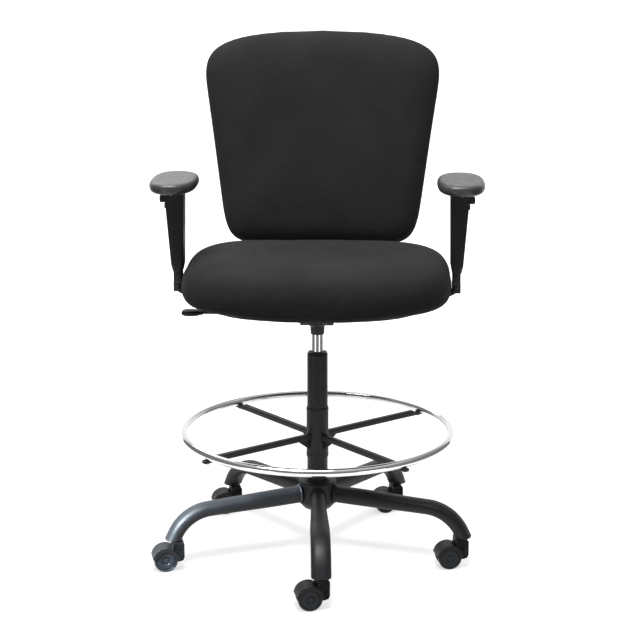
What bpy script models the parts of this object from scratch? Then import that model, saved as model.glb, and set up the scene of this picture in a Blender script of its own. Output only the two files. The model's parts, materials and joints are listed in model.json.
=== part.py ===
"""Drafting chair on a five-leg caster base, with a foot ring and height-adjustable arms.

Metres, +Z up. The origin is on the floor under the column's axis, and the chair faces -Y.
"""

import math

import bmesh
import bpy
from mathutils import Matrix, Vector

# ---------------------------------------------------------------- driving dimensions
GAP = 0.0003                    # clearance between touching pieces

LEG_COUNT = 5
FRONT_LEG_ANGLE = -86.5         # degrees; the first leg points almost straight forward
HUB_RADIUS = 0.046
HUB_BOTTOM_Z = 0.116
HUB_TOP_Z = 0.186
LEG_ROOT_Z = 0.154              # height of a leg's centre line where it meets the hub
LEG_DROP = 0.045                # fall of the centre line per metre run
LEG_BEND_RADIUS = 0.100
LEG_END_SLOPE = 67.0            # degrees below horizontal
LEG_TIP_RADIUS = 0.3655         # tip centre from the column axis
LEG_TIP_Z = 0.0763
LEG_WALL = 0.002
LEG_ROOT_RADIUS = 0.030         # where a leg's centre line starts, inside the hub

CASTER_RADIUS = 0.360           # stem circle
CASTER_TRAIL = 0.0284
CASTER_HEADING = 193.0          # degrees; direction in which all five casters trail
STEM_RADIUS = 0.0055
WHEEL_RADIUS = 0.0285
WHEEL_WIDTH = 0.015
WEB_HALF = 0.0075               # half thickness of the housing's middle web
HOOD_HALF = 0.0232
HOOD_OUTER = 0.0322
HOOD_INNER = 0.0297
HOOD_TOP_Z = 0.0735
SKIRT_REACH = 0.0160            # hood beyond the stem's axis
SKIRT_LOW = -0.0025             # skirt's lower edge from the axle
AXLE_RADIUS = 0.004

TUBE_RADIUS = 0.025             # painted outer tube of the gas lift
TUBE_BOTTOM_Z = 0.1145
TUBE_TOP_Z = 0.5085
LIFT_RADIUS = 0.014             # chrome inner tube
LIFT_BOTTOM_Z = 0.136
LIFT_TOP_Z = 0.591
ROD_RADIUS = 0.004

RING_RADIUS = 0.325
RING_TUBE = 0.0094
RING_Z = 0.311
SLEEVE_RADIUS = 0.0272
SLEEVE_WALL = 0.001
SLEEVE_BOTTOM_Z = 0.250
SLEEVE_TOP_Z = 0.370
SPOKE_ANGLE = 40.0              # degrees; first of four spokes
SPOKE_WIDTH = 0.014
SPOKE_TOP_Z = 0.3075
SPOKE_BOTTOM_Z = 0.294
SPOKE_END = 0.306               # where the tube stops, short of the ring
TAB_END = 0.337                 # the spoke's flat tab runs on under the ring
TAB_STEP = 0.0004               # tab set in from the spoke's faces
CLAMP_Z = 0.344                 # axis of the clamping knob

PIVOT_Y = -0.125                # tilt hinge, at the front of the mechanism
PIVOT_Z = 0.626
LEVER_Z = 0.606
KNOB_Y = -0.085
KNOB_Z = (0.5995, 0.6141)
PIN_RADIUS = 0.0040             # pivot pin, knob stem and lever rod
PIN_HOLE = 0.0043
PAN_NOSE_Z = 0.6145             # undersides of the mechanism's nose and column block
PAN_BLOCK_Z = 0.5850
PAN_TOP_Z = 0.6360
PAN_HALF_WIDTH = 0.040
PAN_WALL = 0.003
SOCKET_LOW_Z = 0.5560
PLATE_X = 0.085
PLATE_Y = (-0.145, 0.130)

SEAT_HALF_WIDTH = 0.3185
SEAT_HALF_DEPTH = 0.241
SEAT_CENTRE_Y = -0.041
SEAT_BOTTOM_Z = 0.642
SEAT_TOP_Z = 0.768
BOARD_TOP_Z = 0.655
PLATE_TOP_Z = 0.6427            # top of the steel seat plate and of the plastic cover
PLATE_THICKNESS = 0.003

BACK_BOTTOM_Z = 0.730
BACK_TOP_Z = 1.254
BACK_FRONT_Y = 0.190            # front face at the bottom edge
BACK_RAKE = 0.2125              # backward lean per metre of height
BACK_WIDTH_AT_MID = 0.2745      # half width half-way up
BACK_FLARE = 0.1410             # growth of the half width per metre of height
BACK_ARCH = 0.034               # drop of the top edge towards the corners
SHELL_DEPTH = 0.0985            # rear face of the shell behind the cushion's front face
BAR_THICKNESS = 0.008
BAR_Z = (0.6352, 0.960)         # level run of the back bar, and its top
BAR_BEND = 0.050

ARM_POST_X = (0.3215, 0.3405)
ARM_POST_Y = (-0.0475, -0.0025)
ARM_POST_Z = (0.6690, 0.8600)
ARM_STRIP_Y = (-0.0660, -0.0195)
ARM_STRIP_THICKNESS = 0.007
ARM_STRIP_TOP_Z = 0.6389        # top of the strip's level run under the seat
ARM_HEAD_Z = (0.9032, 0.9097)   # flat head that carries the pad
ARM_PAD_X = (0.2825, 0.3955)
ARM_PAD_Z = (0.910, 0.936)
ARM_PAD_Y = (-0.120, 0.110)
BUTTON_X = (0.3540, 0.3720)
BUTTON_Z = (0.8800, 0.8965)
BUTTON_HALF_DEPTH = 0.0090
POST_SLACK = 0.0004             # clearance of the sleeve round the post
POCKET_X = (0.3500, 0.3900)     # the button's pocket, open outwards
LEDGE_X = (0.3490, 0.3605)      # finger ledge under the button
LEDGE_Z = (0.8665, 0.8785)

SIDES = (("left", -1.0), ("right", 1.0))


# ---------------------------------------------------------------- scene and materials
def clear_scene():
    for obj in list(bpy.data.objects):
        bpy.data.objects.remove(obj, do_unlink=True)


def collection(name):
    made = bpy.data.collections.new(name)
    bpy.context.scene.collection.children.link(made)
    return made


clear_scene()
PARTS = collection("drafting_chair")
CUTTERS = collection("cutters")


def material(name, colour, roughness, metallic=0.0):
    made = bpy.data.materials.new(name)
    made.use_nodes = True
    shader = made.node_tree.nodes["Principled BSDF"]
    shader.inputs["Base Color"].default_value = (*colour, 1.0)
    shader.inputs["Roughness"].default_value = roughness
    shader.inputs["Metallic"].default_value = metallic
    return made


FINISHES = {
    "black_steel": ((0.028, 0.029, 0.031), 0.45, 0.0),
    "chrome": ((0.80, 0.80, 0.81), 0.08, 1.0),
    "bright_steel": ((0.55, 0.55, 0.56), 0.30, 1.0),
    "black_plastic": ((0.022, 0.022, 0.024), 0.50, 0.0),
    "wheel_nylon": ((0.035, 0.040, 0.044), 0.42, 0.0),
    "black_fabric": ((0.020, 0.019, 0.020), 0.95, 0.0),
    "arm_pad_skin": ((0.035, 0.035, 0.036), 0.38, 0.0),
    "plywood": ((0.55, 0.40, 0.24), 0.70, 0.0),
    "guide_plastic": ((0.05, 0.05, 0.05), 0.40, 0.0),
}


def finish(obj, kind):
    """Give one sub-part its own material of the named kind."""
    colour, roughness, metallic = FINISHES[kind]
    obj.data.materials.clear()
    obj.data.materials.append(material(obj.name, colour, roughness, metallic))
    return obj


def place(mesh, name, kind=None):
    """Link a mesh as a named part, or as a cutter when it has no finish."""
    obj = bpy.data.objects.new(name, mesh)
    if kind:
        PARTS.objects.link(obj)
        finish(obj, kind)
    else:
        CUTTERS.objects.link(obj)
        obj.hide_render = True
        obj.display_type = "WIRE"
    return obj


def smooth(obj, angle=35.0):
    obj.data.shade_smooth()
    obj.data.set_sharp_from_angle(angle=math.radians(angle))
    return obj


# ---------------------------------------------------------------- shape helpers
def box(name, low, high, kind=None, bevel=0.0):
    centre = (Vector(low) + Vector(high)) / 2
    size = Vector(high) - Vector(low)
    mesh = bpy.data.meshes.new(name)
    bm = bmesh.new()
    bmesh.ops.create_cube(bm, size=1.0)
    bmesh.ops.scale(bm, vec=size, verts=bm.verts)
    bm.to_mesh(mesh)
    bm.free()
    obj = place(mesh, name, kind)
    obj.location = centre
    if bevel:
        rounding = obj.modifiers.new("edges", "BEVEL")
        rounding.width = bevel
        rounding.segments = 2
    return obj


def rod(name, radius, start, end, kind=None, sides=20):
    """Straight round bar between two points."""
    start = Vector(start)
    along = Vector(end) - start
    mesh = bpy.data.meshes.new(name)
    bm = bmesh.new()
    bmesh.ops.create_cone(
        bm, cap_ends=True, segments=sides, radius1=radius, radius2=radius, depth=along.length
    )
    bm.to_mesh(mesh)
    bm.free()
    obj = place(mesh, name, kind)
    obj.rotation_euler = along.to_track_quat("Z", "Y").to_euler()
    obj.location = start + along / 2
    return smooth(obj)


def turned(name, profile, kind=None, steps=24, closed=False, location=(0, 0, 0)):
    """Body turned about its local Z. The profile runs down its outer side as (radius, z)."""
    mesh = bpy.data.meshes.new(name)
    edges = [(i, i + 1) for i in range(len(profile) - 1)]
    if closed:
        edges.append((len(profile) - 1, 0))
    mesh.from_pydata([(r, 0.0, z) for r, z in profile], edges, [])
    obj = place(mesh, name, kind)
    screw = obj.modifiers.new("turn", "SCREW")
    screw.steps = steps
    screw.render_steps = steps
    screw.use_merge_vertices = True
    screw.merge_threshold = 0.00001
    screw.use_smooth_shade = True
    obj.location = location
    return obj


def ring_profile(inner, outer, low, high, round_off=0.0):
    """Closed section of a ring, with its outer corners chamfered by round_off."""
    c = round_off
    if not c:
        return [(outer, high), (outer, low), (inner, low), (inner, high)]
    return [
        (outer - c, high), (outer, high - c), (outer, low + c), (outer - c, low),
        (inner, low), (inner, high),
    ]


def mesh_from_curve(curve_obj, name, kind):
    """Turn a curve object into a welded mesh object in its place."""
    bpy.context.view_layer.update()
    graph = bpy.context.evaluated_depsgraph_get()
    mesh = bpy.data.meshes.new_from_object(curve_obj.evaluated_get(graph))
    bm = bmesh.new()
    bm.from_mesh(mesh)
    bmesh.ops.remove_doubles(bm, verts=bm.verts, dist=0.00001)
    bm.to_mesh(mesh)
    bm.free()
    matrix = curve_obj.matrix_world.copy()
    bpy.data.objects.remove(curve_obj, do_unlink=True)
    obj = place(mesh, name, kind)
    obj.matrix_world = matrix
    return obj


def plate(name, outline, thickness, kind=None, matrix=None):
    """Flat outline in the local XY plane, extruded by its thickness about that plane."""
    curve = bpy.data.curves.new(name + "_outline", "CURVE")
    curve.dimensions = "2D"
    curve.fill_mode = "BOTH"
    curve.extrude = thickness / 2
    spline = curve.splines.new("POLY")
    spline.points.add(len(outline) - 1)
    for point, (x, y) in zip(spline.points, outline):
        point.co = (x, y, 0.0, 1.0)
    spline.use_cyclic_u = True
    guide = bpy.data.objects.new(name + "_guide", curve)
    CUTTERS.objects.link(guide)
    guide.matrix_world = matrix or Matrix.Identity(4)
    return mesh_from_curve(guide, name, kind)


def tube(name, points, radius, kind=None, resolution=2):
    """Round wire along a list of points, with filled ends."""
    curve = bpy.data.curves.new(name + "_path", "CURVE")
    curve.dimensions = "3D"
    curve.bevel_depth = radius
    curve.bevel_resolution = resolution
    curve.use_fill_caps = True
    spline = curve.splines.new("POLY")
    spline.points.add(len(points) - 1)
    for point, co in zip(spline.points, points):
        point.co = (*co, 1.0)
    guide = bpy.data.objects.new(name + "_guide", curve)
    CUTTERS.objects.link(guide)
    return smooth(mesh_from_curve(guide, name, kind))


def loft(name, rings, kind=None):
    """Skin through rings of equal point count, for sections that differ along the piece."""
    count = len(rings[0])
    bm = bmesh.new()
    rows = [[bm.verts.new(co) for co in ring] for ring in rings]
    for low, high in zip(rows, rows[1:]):
        for i in range(count):
            j = (i + 1) % count
            bm.faces.new((low[i], low[j], high[j], high[i]))
    bm.faces.new(list(reversed(rows[0])))
    bm.faces.new(rows[-1])
    bmesh.ops.recalc_face_normals(bm, faces=bm.faces)
    mesh = bpy.data.meshes.new(name)
    bm.to_mesh(mesh)
    bm.free()
    return smooth(place(mesh, name, kind))


def combine(obj, operation, *others):
    """Boolean of the object with each helper, kept as live modifiers."""
    for other in others:
        step = obj.modifiers.new(operation.lower() + "_" + other.name, "BOOLEAN")
        step.operation = operation
        step.solver = "EXACT"
        step.object = other
    return obj


def cut(obj, *cutters):
    return combine(obj, "DIFFERENCE", *cutters)


def join(obj, *pieces):
    return combine(obj, "UNION", *pieces)


def arc(centre, radius, start, end, count):
    """Points on an arc in a plane, angles in degrees."""
    points = []
    for i in range(count):
        angle = math.radians(start + (end - start) * i / (count - 1))
        points.append((
            centre[0] + radius * math.cos(angle),
            centre[1] + radius * math.sin(angle),
        ))
    return points


def rounded_rectangle(half_x, half_y, radius, count=5, centre=(0.0, 0.0)):
    points = []
    for k, (sx, sy) in enumerate(((1, 1), (-1, 1), (-1, -1), (1, -1))):
        corner = (centre[0] + sx * (half_x - radius), centre[1] + sy * (half_y - radius))
        points += arc(corner, radius, 90 * k, 90 * k + 90, count)
    return points


def superellipse(t, power):
    """Unit superellipse point at angle t in radians."""
    c = math.cos(t)
    s = math.sin(t)
    x = math.copysign(abs(c) ** (2 / power), c)
    y = math.copysign(abs(s) ** (2 / power), s)
    return x, y


def about_z(degrees):
    return Matrix.Rotation(math.radians(degrees), 4, "Z")


# ---------------------------------------------------------------- base
def leg_path():
    """Centre line of a leg as (radius, z, slope in degrees), from the hub to the tip."""
    root_slope = math.degrees(math.atan(LEG_DROP))
    run = math.sin(math.radians(LEG_END_SLOPE)) - math.sin(math.radians(root_slope))
    bend_start = LEG_TIP_RADIUS - LEG_BEND_RADIUS * run
    path = []
    for i in range(4):
        r = LEG_ROOT_RADIUS + (bend_start - LEG_ROOT_RADIUS) * i / 3
        path.append((r, LEG_ROOT_Z - LEG_DROP * (r - LEG_ROOT_RADIUS), root_slope))
    last_r, last_z, _ = path[-1]
    for i in range(1, 6):
        slope = root_slope + (LEG_END_SLOPE - root_slope) * i / 5
        dr = math.sin(math.radians(slope)) - math.sin(math.radians(root_slope))
        dz = math.cos(math.radians(root_slope)) - math.cos(math.radians(slope))
        path.append((last_r + LEG_BEND_RADIUS * dr, last_z - LEG_BEND_RADIUS * dz, slope))
    end_r, end_z, slope = path[-1]
    spare = 0.022                # run past the tip, trimmed level afterwards
    path.append((
        end_r + spare * math.cos(math.radians(slope)),
        end_z - spare * math.sin(math.radians(slope)),
        slope,
    ))
    return path


def leg_rings(path, inset, sides):
    """Oval sections along a leg: tall at the hub, wide and low from the bend on."""
    rings = []
    reach = LEG_TIP_RADIUS - LEG_ROOT_RADIUS
    for r, z, slope in path:
        along = min(1.0, max(0.0, (r - 0.10) / (reach - 0.16)))
        ease = along * along * (3 - 2 * along)
        half_wide = 0.0190 + 0.0045 * ease - inset
        half_tall = 0.0205 - 0.0035 * ease - inset
        lean = math.radians(slope)
        ring = []
        for k in range(sides):
            u, v = superellipse(2 * math.pi * k / sides, 2.6)
            ring.append((
                r + math.sin(lean) * v * half_tall,
                u * half_wide,
                z + math.cos(lean) * v * half_tall,
            ))
        rings.append(ring)
    return rings


def base_hub():
    c = 0.014
    bore = TUBE_RADIUS + GAP
    hollow = HUB_RADIUS - 0.006
    turned("base_hub", [
        (HUB_RADIUS - 0.003, HUB_TOP_Z), (HUB_RADIUS, HUB_TOP_Z - 0.003),
        (HUB_RADIUS, HUB_BOTTOM_Z + c), (HUB_RADIUS - 0.3 * c, HUB_BOTTOM_Z + 0.3 * c),
        (HUB_RADIUS - c, HUB_BOTTOM_Z),
        (bore, HUB_BOTTOM_Z), (bore, HUB_BOTTOM_Z + 0.012), (hollow, HUB_BOTTOM_Z + 0.016),
        (hollow, HUB_TOP_Z - 0.014), (bore, HUB_TOP_Z - 0.010), (bore, HUB_TOP_Z),
    ], "black_steel", steps=24, closed=True)


def base_legs():
    path = leg_path()
    hub_space = rod("hub_space", HUB_RADIUS + GAP, (0, 0, 0), (0, 0, 0.3), sides=24)
    for i in range(LEG_COUNT):
        angle = FRONT_LEG_ANGLE + i * 360 / LEG_COUNT
        turn = about_z(angle)
        leg = loft(f"base_leg_{i + 1}", leg_rings(path, 0.0, 12), "black_steel")
        hollow = loft(f"leg_hollow_{i + 1}", leg_rings(path[:-3], LEG_WALL, 10))
        below = box(f"leg_trim_{i + 1}", (0.25, -0.04, 0.0), (0.42, 0.04, LEG_TIP_Z))
        bore = rod(
            f"leg_bore_{i + 1}", STEM_RADIUS + GAP,
            (CASTER_RADIUS, 0, LEG_TIP_Z - 0.01), (CASTER_RADIUS, 0, LEG_TIP_Z + 0.020), sides=12,
        )
        for piece in (leg, hollow, below, bore):
            piece.matrix_world = turn @ piece.matrix_basis
        cut(leg, hub_space, hollow, below, bore)


# ---------------------------------------------------------------- casters
def caster_stem(number, x, y):
    top = LEG_TIP_Z + 0.0190
    flange_top = LEG_TIP_Z - GAP
    flange_low = HOOD_TOP_Z + GAP
    bottom = HOOD_TOP_Z - 0.022
    flange = 0.0085
    turned(f"caster_stem_{number}", [
        (0.0, top), (STEM_RADIUS, top), (STEM_RADIUS, flange_top), (flange, flange_top),
        (flange, flange_low), (STEM_RADIUS, flange_low), (STEM_RADIUS, bottom), (0.0, bottom),
    ], "bright_steel", steps=12, location=(x, y, 0.0))


def hood_outline():
    """Side view of the hood: an arc over the wheel that runs on to a square skirt."""
    skirt = CASTER_TRAIL + SKIRT_REACH
    outer = arc((0, 0), HOOD_OUTER, 62, 178, 8)
    top = HOOD_TOP_Z - WHEEL_RADIUS
    outer_side = [(skirt, SKIRT_LOW), (skirt, top - 0.003), (skirt - 0.003, top), (0.0165, top)]
    inner = arc((0, 0), HOOD_INNER, 178, -7, 11)
    return outer_side + outer + inner


def web_outline():
    """Side view of the middle web: stem boss, axle boss and the plate between them."""
    skirt = CASTER_TRAIL + SKIRT_REACH - 0.0005
    top = HOOD_TOP_Z - WHEEL_RADIUS - 0.001
    inside = HOOD_INNER + 0.0012
    low = arc((0, 0), 0.0125, 175, 300, 5)
    high = arc((0, 0), inside, 62, 150, 6)
    return [(skirt, SKIRT_LOW), (skirt, top), (0.0165, top)] + high + low


def caster(number, leg_angle):
    stem_x = CASTER_RADIUS * math.cos(math.radians(leg_angle))
    stem_y = CASTER_RADIUS * math.sin(math.radians(leg_angle))
    caster_stem(number, stem_x, stem_y)
    trail = math.radians(CASTER_HEADING)
    centre = Vector((
        stem_x + CASTER_TRAIL * math.cos(trail),
        stem_y + CASTER_TRAIL * math.sin(trail),
        WHEEL_RADIUS,
    ))
    # Local frame: X towards the stem, Y up, Z along the axle.
    forward = Vector((-math.cos(trail), -math.sin(trail), 0))
    up = Vector((0, 0, 1))
    axle = forward.cross(up)
    frame = Matrix((forward, up, axle)).transposed().to_4x4()
    frame.translation = centre

    housing = plate(
        f"caster_housing_{number}", hood_outline(), 2 * HOOD_HALF, "black_plastic", frame
    )
    web = plate(f"caster_web_{number}", web_outline(), 2 * WEB_HALF, None, frame)
    reach = HOOD_HALF - 0.0006
    pin = rod(
        f"caster_axle_{number}", AXLE_RADIUS, centre - axle * reach, centre + axle * reach, sides=16
    )
    bore = rod(
        f"caster_bore_{number}", STEM_RADIUS + GAP,
        (stem_x, stem_y, HOOD_TOP_Z - 0.0225), (stem_x, stem_y, HOOD_TOP_Z + 0.005), sides=14,
    )
    join(housing, web, pin)
    cut(housing, bore)

    bore_radius = AXLE_RADIUS + GAP
    for side, sign in (("a", -1.0), ("b", 1.0)):
        inner = WEB_HALF + 0.0004
        outer = inner + WHEEL_WIDTH
        wheel = turned(f"caster_wheel_{number}{side}", [
            (WHEEL_RADIUS - 0.003, outer), (WHEEL_RADIUS, outer - 0.003),
            (WHEEL_RADIUS, inner + 0.001), (WHEEL_RADIUS - 0.001, inner),
            (bore_radius, inner), (bore_radius, outer),
        ], "wheel_nylon", steps=20, closed=True)
        flip = Matrix.Rotation(math.pi, 4, "X") if sign < 0 else Matrix.Identity(4)
        wheel.matrix_world = frame @ flip


def casters():
    for i in range(LEG_COUNT):
        caster(i + 1, FRONT_LEG_ANGLE + i * 360 / LEG_COUNT)


# ---------------------------------------------------------------- gas lift
def gas_lift():
    wall = 0.0025
    floor = TUBE_BOTTOM_Z + 0.004
    neck = ROD_RADIUS + GAP
    turned("gas_lift_outer_tube", [
        (TUBE_RADIUS - 0.001, TUBE_TOP_Z), (TUBE_RADIUS, TUBE_TOP_Z - 0.001),
        (TUBE_RADIUS, TUBE_BOTTOM_Z + 0.003), (TUBE_RADIUS - 0.003, TUBE_BOTTOM_Z),
        (neck, TUBE_BOTTOM_Z), (neck, floor), (TUBE_RADIUS - wall, floor),
        (TUBE_RADIUS - wall, TUBE_TOP_Z),
    ], "black_steel", steps=24, closed=True)

    bush_outer = TUBE_RADIUS - wall - GAP
    bush_inner = LIFT_RADIUS + GAP
    lip = TUBE_TOP_Z + GAP
    bush_low = TUBE_TOP_Z - 0.084
    turned("gas_lift_guide_bush", [
        (0.0215, lip + 0.003), (0.0238, lip + 0.002), (0.0238, lip), (bush_outer, lip),
        (bush_outer, bush_low), (bush_inner, bush_low), (bush_inner, lip + 0.003),
    ], "guide_plastic", steps=24, closed=True)

    bore = LIFT_RADIUS - 0.002
    valve_bore = 0.0040
    turned("gas_lift_inner_tube", [
        (LIFT_RADIUS - 0.001, LIFT_TOP_Z), (LIFT_RADIUS, LIFT_TOP_Z - 0.001),
        (LIFT_RADIUS, LIFT_BOTTOM_Z + 0.001), (LIFT_RADIUS - 0.001, LIFT_BOTTOM_Z),
        (neck, LIFT_BOTTOM_Z), (neck, LIFT_BOTTOM_Z + 0.018), (bore, LIFT_BOTTOM_Z + 0.018),
        (bore, LIFT_TOP_Z - 0.020), (valve_bore, LIFT_TOP_Z - 0.020), (valve_bore, LIFT_TOP_Z),
    ], "chrome", steps=20, closed=True)

    seal = bore - GAP
    piston_low = 0.500
    collar = TUBE_BOTTOM_Z + 0.0125
    neck_low = TUBE_BOTTOM_Z - 0.001
    groove_low = TUBE_BOTTOM_Z - 0.0045
    end = TUBE_BOTTOM_Z - 0.0075
    turned("gas_lift_piston_rod", [
        (0.0, piston_low + 0.015), (seal, piston_low + 0.015), (seal, piston_low),
        (ROD_RADIUS, piston_low), (ROD_RADIUS, collar + 0.005), (0.011, collar + 0.005),
        (0.011, collar), (ROD_RADIUS, collar), (ROD_RADIUS, neck_low), (0.0030, neck_low),
        (0.0030, groove_low), (ROD_RADIUS, groove_low), (ROD_RADIUS - 0.001, end), (0.0, end),
    ], "bright_steel", steps=16)
    turned(
        "gas_lift_thrust_bearing",
        ring_profile(ROD_RADIUS + 0.0006, 0.0175, floor + GAP, collar - GAP, 0.001),
        "bright_steel", steps=20, closed=True,
    )
    turned(
        "gas_lift_retaining_clip",
        ring_profile(0.0030 + GAP, 0.0090, groove_low + 0.0005, neck_low - 0.0005),
        "bright_steel", steps=16, closed=True,
    )
    turned("gas_lift_valve_button", [
        (0.0, LIFT_TOP_Z + 0.0106), (0.0030, LIFT_TOP_Z + 0.0106), (0.0036, LIFT_TOP_Z + 0.0099),
        (0.0036, LIFT_TOP_Z - 0.016), (0.0, LIFT_TOP_Z - 0.016),
    ], "bright_steel", steps=14)


# ---------------------------------------------------------------- foot ring
def foot_ring():
    section = arc((RING_RADIUS, RING_Z), RING_TUBE, 0, -315, 8)
    turned("footring_ring", section, "chrome", steps=44, closed=True)


def foot_spider():
    """Sleeve with four square-tube spokes, their webs, and a tab under the ring at each end."""
    inner = SLEEVE_RADIUS - SLEEVE_WALL
    spider = turned(
        "footring_spider",
        ring_profile(inner, SLEEVE_RADIUS, SLEEVE_BOTTOM_Z, SLEEVE_TOP_Z),
        "black_steel", steps=24, closed=True,
    )
    low, top = SPOKE_BOTTOM_Z, SPOKE_TOP_Z
    root = inner + 0.0004
    half = SPOKE_WIDTH / 2
    wall = 0.0018
    tab_top = RING_Z - RING_TUBE - GAP
    web_rz = [(root, low - 0.024), (0.031, low - 0.021), (0.062, low + 0.001), (root, low + 0.001)]
    upright = Matrix.Rotation(math.pi / 2, 4, "X")
    for k in range(4):
        turn = about_z(SPOKE_ANGLE + 90 * k)
        bar = box(f"spoke_{k + 1}", (root, -half, low), (SPOKE_END, half, top))
        web = plate(f"spoke_web_{k + 1}", web_rz, 0.004, None, upright)
        hollow = box(
            f"spoke_hollow_{k + 1}", (0.040, wall - half, low + wall),
            (SPOKE_END + 0.01, half - wall, top - wall),
        )
        tab = box(
            f"spoke_tab_{k + 1}", (SPOKE_END - 0.006, TAB_STEP - half, low + TAB_STEP),
            (TAB_END, half - TAB_STEP, tab_top),
        )
        for piece in (bar, web, hollow, tab):
            piece.matrix_world = turn @ piece.matrix_basis
        join(spider, bar, web)
        cut(spider, hollow)
        join(spider, tab)
    boss = rod("knob_boss", 0.010, (0, root, CLAMP_Z), (0, 0.036, CLAMP_Z), sides=20)
    join(spider, boss)
    tap = rod("knob_tap", 0.0043, (0, 0.02, CLAMP_Z), (0, 0.05, CLAMP_Z), sides=14)
    cut(spider, tap)


def foot_liner_and_knob():
    lip = SLEEVE_RADIUS - 0.0004
    outer = SLEEVE_RADIUS - SLEEVE_WALL - GAP
    bore = TUBE_RADIUS + GAP
    low, high = SLEEVE_BOTTOM_Z - GAP, SLEEVE_TOP_Z + GAP
    rim = 0.0025
    turned("footring_liner", [
        (lip, high + rim), (lip, high), (outer, high), (outer, low), (lip, low),
        (lip, low - rim), (bore, low - rim), (bore, high + rim),
    ], "guide_plastic", steps=24, closed=True)
    knob = turned("footring_knob", [
        (0.0, 0.066), (0.012, 0.066), (0.018, 0.062), (0.018, 0.046), (0.012, 0.042),
        (0.007, 0.0363), (0.004, 0.0363), (0.004, 0.0266), (0.0, 0.0266),
    ], "black_plastic", steps=16)
    knob.rotation_euler = (math.radians(-90), 0, 0)
    knob.location = (0, 0, CLAMP_Z)


# ---------------------------------------------------------------- tilt mechanism
def mechanism_outline(inset):
    """Side profile (y, z) of the pressed pan: a shallow nose and a deeper column block."""
    nose_low = PAN_NOSE_Z + inset
    block_low = PAN_BLOCK_Z + inset
    top = PAN_TOP_Z + 8 * inset
    rear_top = 0.6050 + 18 * inset
    return [
        (-0.140 + inset, nose_low), (-0.051, nose_low), (-0.040, block_low),
        (0.036 - inset, block_low), (0.036 - inset, rear_top), (-0.105, top), (-0.140 + inset, top),
    ]


def side_plate(name, outline_yz, x_low, x_high, kind=None):
    """Outline in the YZ plane, extruded from x_low to x_high."""
    matrix = Matrix((
        (0, 0, 1, (x_low + x_high) / 2), (1, 0, 0, 0), (0, 1, 0, 0), (0, 0, 0, 1),
    ))
    return plate(name, outline_yz, x_high - x_low, kind, matrix)


def pivot_hole(name):
    return rod(name, PIN_HOLE, (-0.06, PIVOT_Y, PIVOT_Z), (0.06, PIVOT_Y, PIVOT_Z), sides=16)


def mechanism_body():
    half = PAN_HALF_WIDTH
    inside = half - PAN_WALL
    body = side_plate(
        "tilt_mechanism_body", mechanism_outline(0.0), -half, half, "black_steel"
    )
    hollow = side_plate("pan_hollow", mechanism_outline(PAN_WALL), -inside, inside)
    socket = turned("column_socket", [
        (0.0, 0.5930), (0.0265, 0.5930), (0.0265, 0.5830), (0.0175, 0.5750),
        (0.0165, SOCKET_LOW_Z), (0.0, SOCKET_LOW_Z),
    ], steps=20)
    bore = rod("column_bore", LIFT_RADIUS + 2 * GAP, (0, 0, 0.54), (0, 0, 0.62), sides=20)
    pin_hole = pivot_hole("pin_hole")
    knob_hole = rod("knob_hole", 0.0046, (0, KNOB_Y, 0.60), (0, KNOB_Y, 0.63), sides=16)
    lever_hole = rod("lever_hole", 0.0079, (-0.06, 0, LEVER_Z), (-0.02, 0, LEVER_Z), sides=18)
    cut(body, hollow)
    join(body, socket)
    cut(body, bore, pin_hole, knob_hole, lever_hole)


def seat_plate():
    low = PLATE_TOP_Z - PLATE_THICKNESS
    top = box(
        "seat_plate", (-PLATE_X, PLATE_Y[0], low), (PLATE_X, PLATE_Y[1], PLATE_TOP_Z), "black_steel"
    )
    hole = pivot_hole("flange_hole")
    inner = PAN_HALF_WIDTH + GAP
    for side, sign in SIDES:
        ends = sorted((sign * inner, sign * (inner + PLATE_THICKNESS)))
        flange = box(
            f"plate_flange_{side}", (ends[0], -0.140, 0.6165), (ends[1], -0.106, low + 0.001)
        )
        join(top, flange)
    cut(top, hole)


def tilt_fittings():
    rod(
        "tilt_pivot_pin", PIN_RADIUS, (-0.047, PIVOT_Y, PIVOT_Z), (0.047, PIVOT_Y, PIVOT_Z),
        "bright_steel", sides=16,
    )
    turns = 3.5
    wire = 0.0016
    coil = 0.0125
    low = 0.6178 + wire
    high = PLATE_TOP_Z - PLATE_THICKNESS - wire - GAP
    steps = 24
    points = []
    for i in range(steps + 1):
        angle = 2 * math.pi * turns * i / steps
        z = low + (high - low) * i / steps
        points.append((coil * math.cos(angle), KNOB_Y + coil * math.sin(angle), z))
    tube("tilt_tension_spring", points, wire, "bright_steel")
    low, high = KNOB_Z
    stem = PIN_RADIUS + 0.0002
    stem_top = high + 0.0169
    turned("tilt_tension_knob", [
        (0.0, stem_top), (stem, stem_top), (stem, high), (0.025, high), (0.027, high - 0.0021),
        (0.027, low + 0.0025), (0.025, low), (0.0, low),
    ], "black_plastic", steps=20, location=(0, KNOB_Y, 0))


def height_lever():
    bush = turned("lever_bush", [
        (0.0075, 0.0385), (0.0075, 0.0407), (0.0105, 0.0407), (0.0105, 0.0437),
        (PIN_HOLE, 0.0437), (PIN_HOLE, 0.0345), (0.0075, 0.0345),
    ][::-1], "guide_plastic", steps=18, closed=True)
    bush.rotation_euler = (0, math.radians(-90), 0)
    bush.location = (0, 0, LEVER_Z)
    rod(
        "height_lever_rod", PIN_RADIUS, (0.004, 0, LEVER_Z), (-0.290, 0, LEVER_Z),
        "black_steel", sides=16,
    )
    outline = [
        (-0.328, -0.012), (-0.328, 0.012), (-0.321, 0.018), (-0.291, 0.018), (-0.2755, 0.008),
        (-0.2755, -0.008), (-0.291, -0.018), (-0.321, -0.018),
    ]
    at = Matrix.Translation((0, 0, LEVER_Z - 0.0005))
    handle = plate("height_lever_handle", outline, 0.015, "black_plastic", at)
    socket = rod(
        "lever_socket", PIN_HOLE, (-0.20, 0, LEVER_Z), (-0.2905, 0, LEVER_Z), sides=16
    )
    cut(handle, socket)


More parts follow.
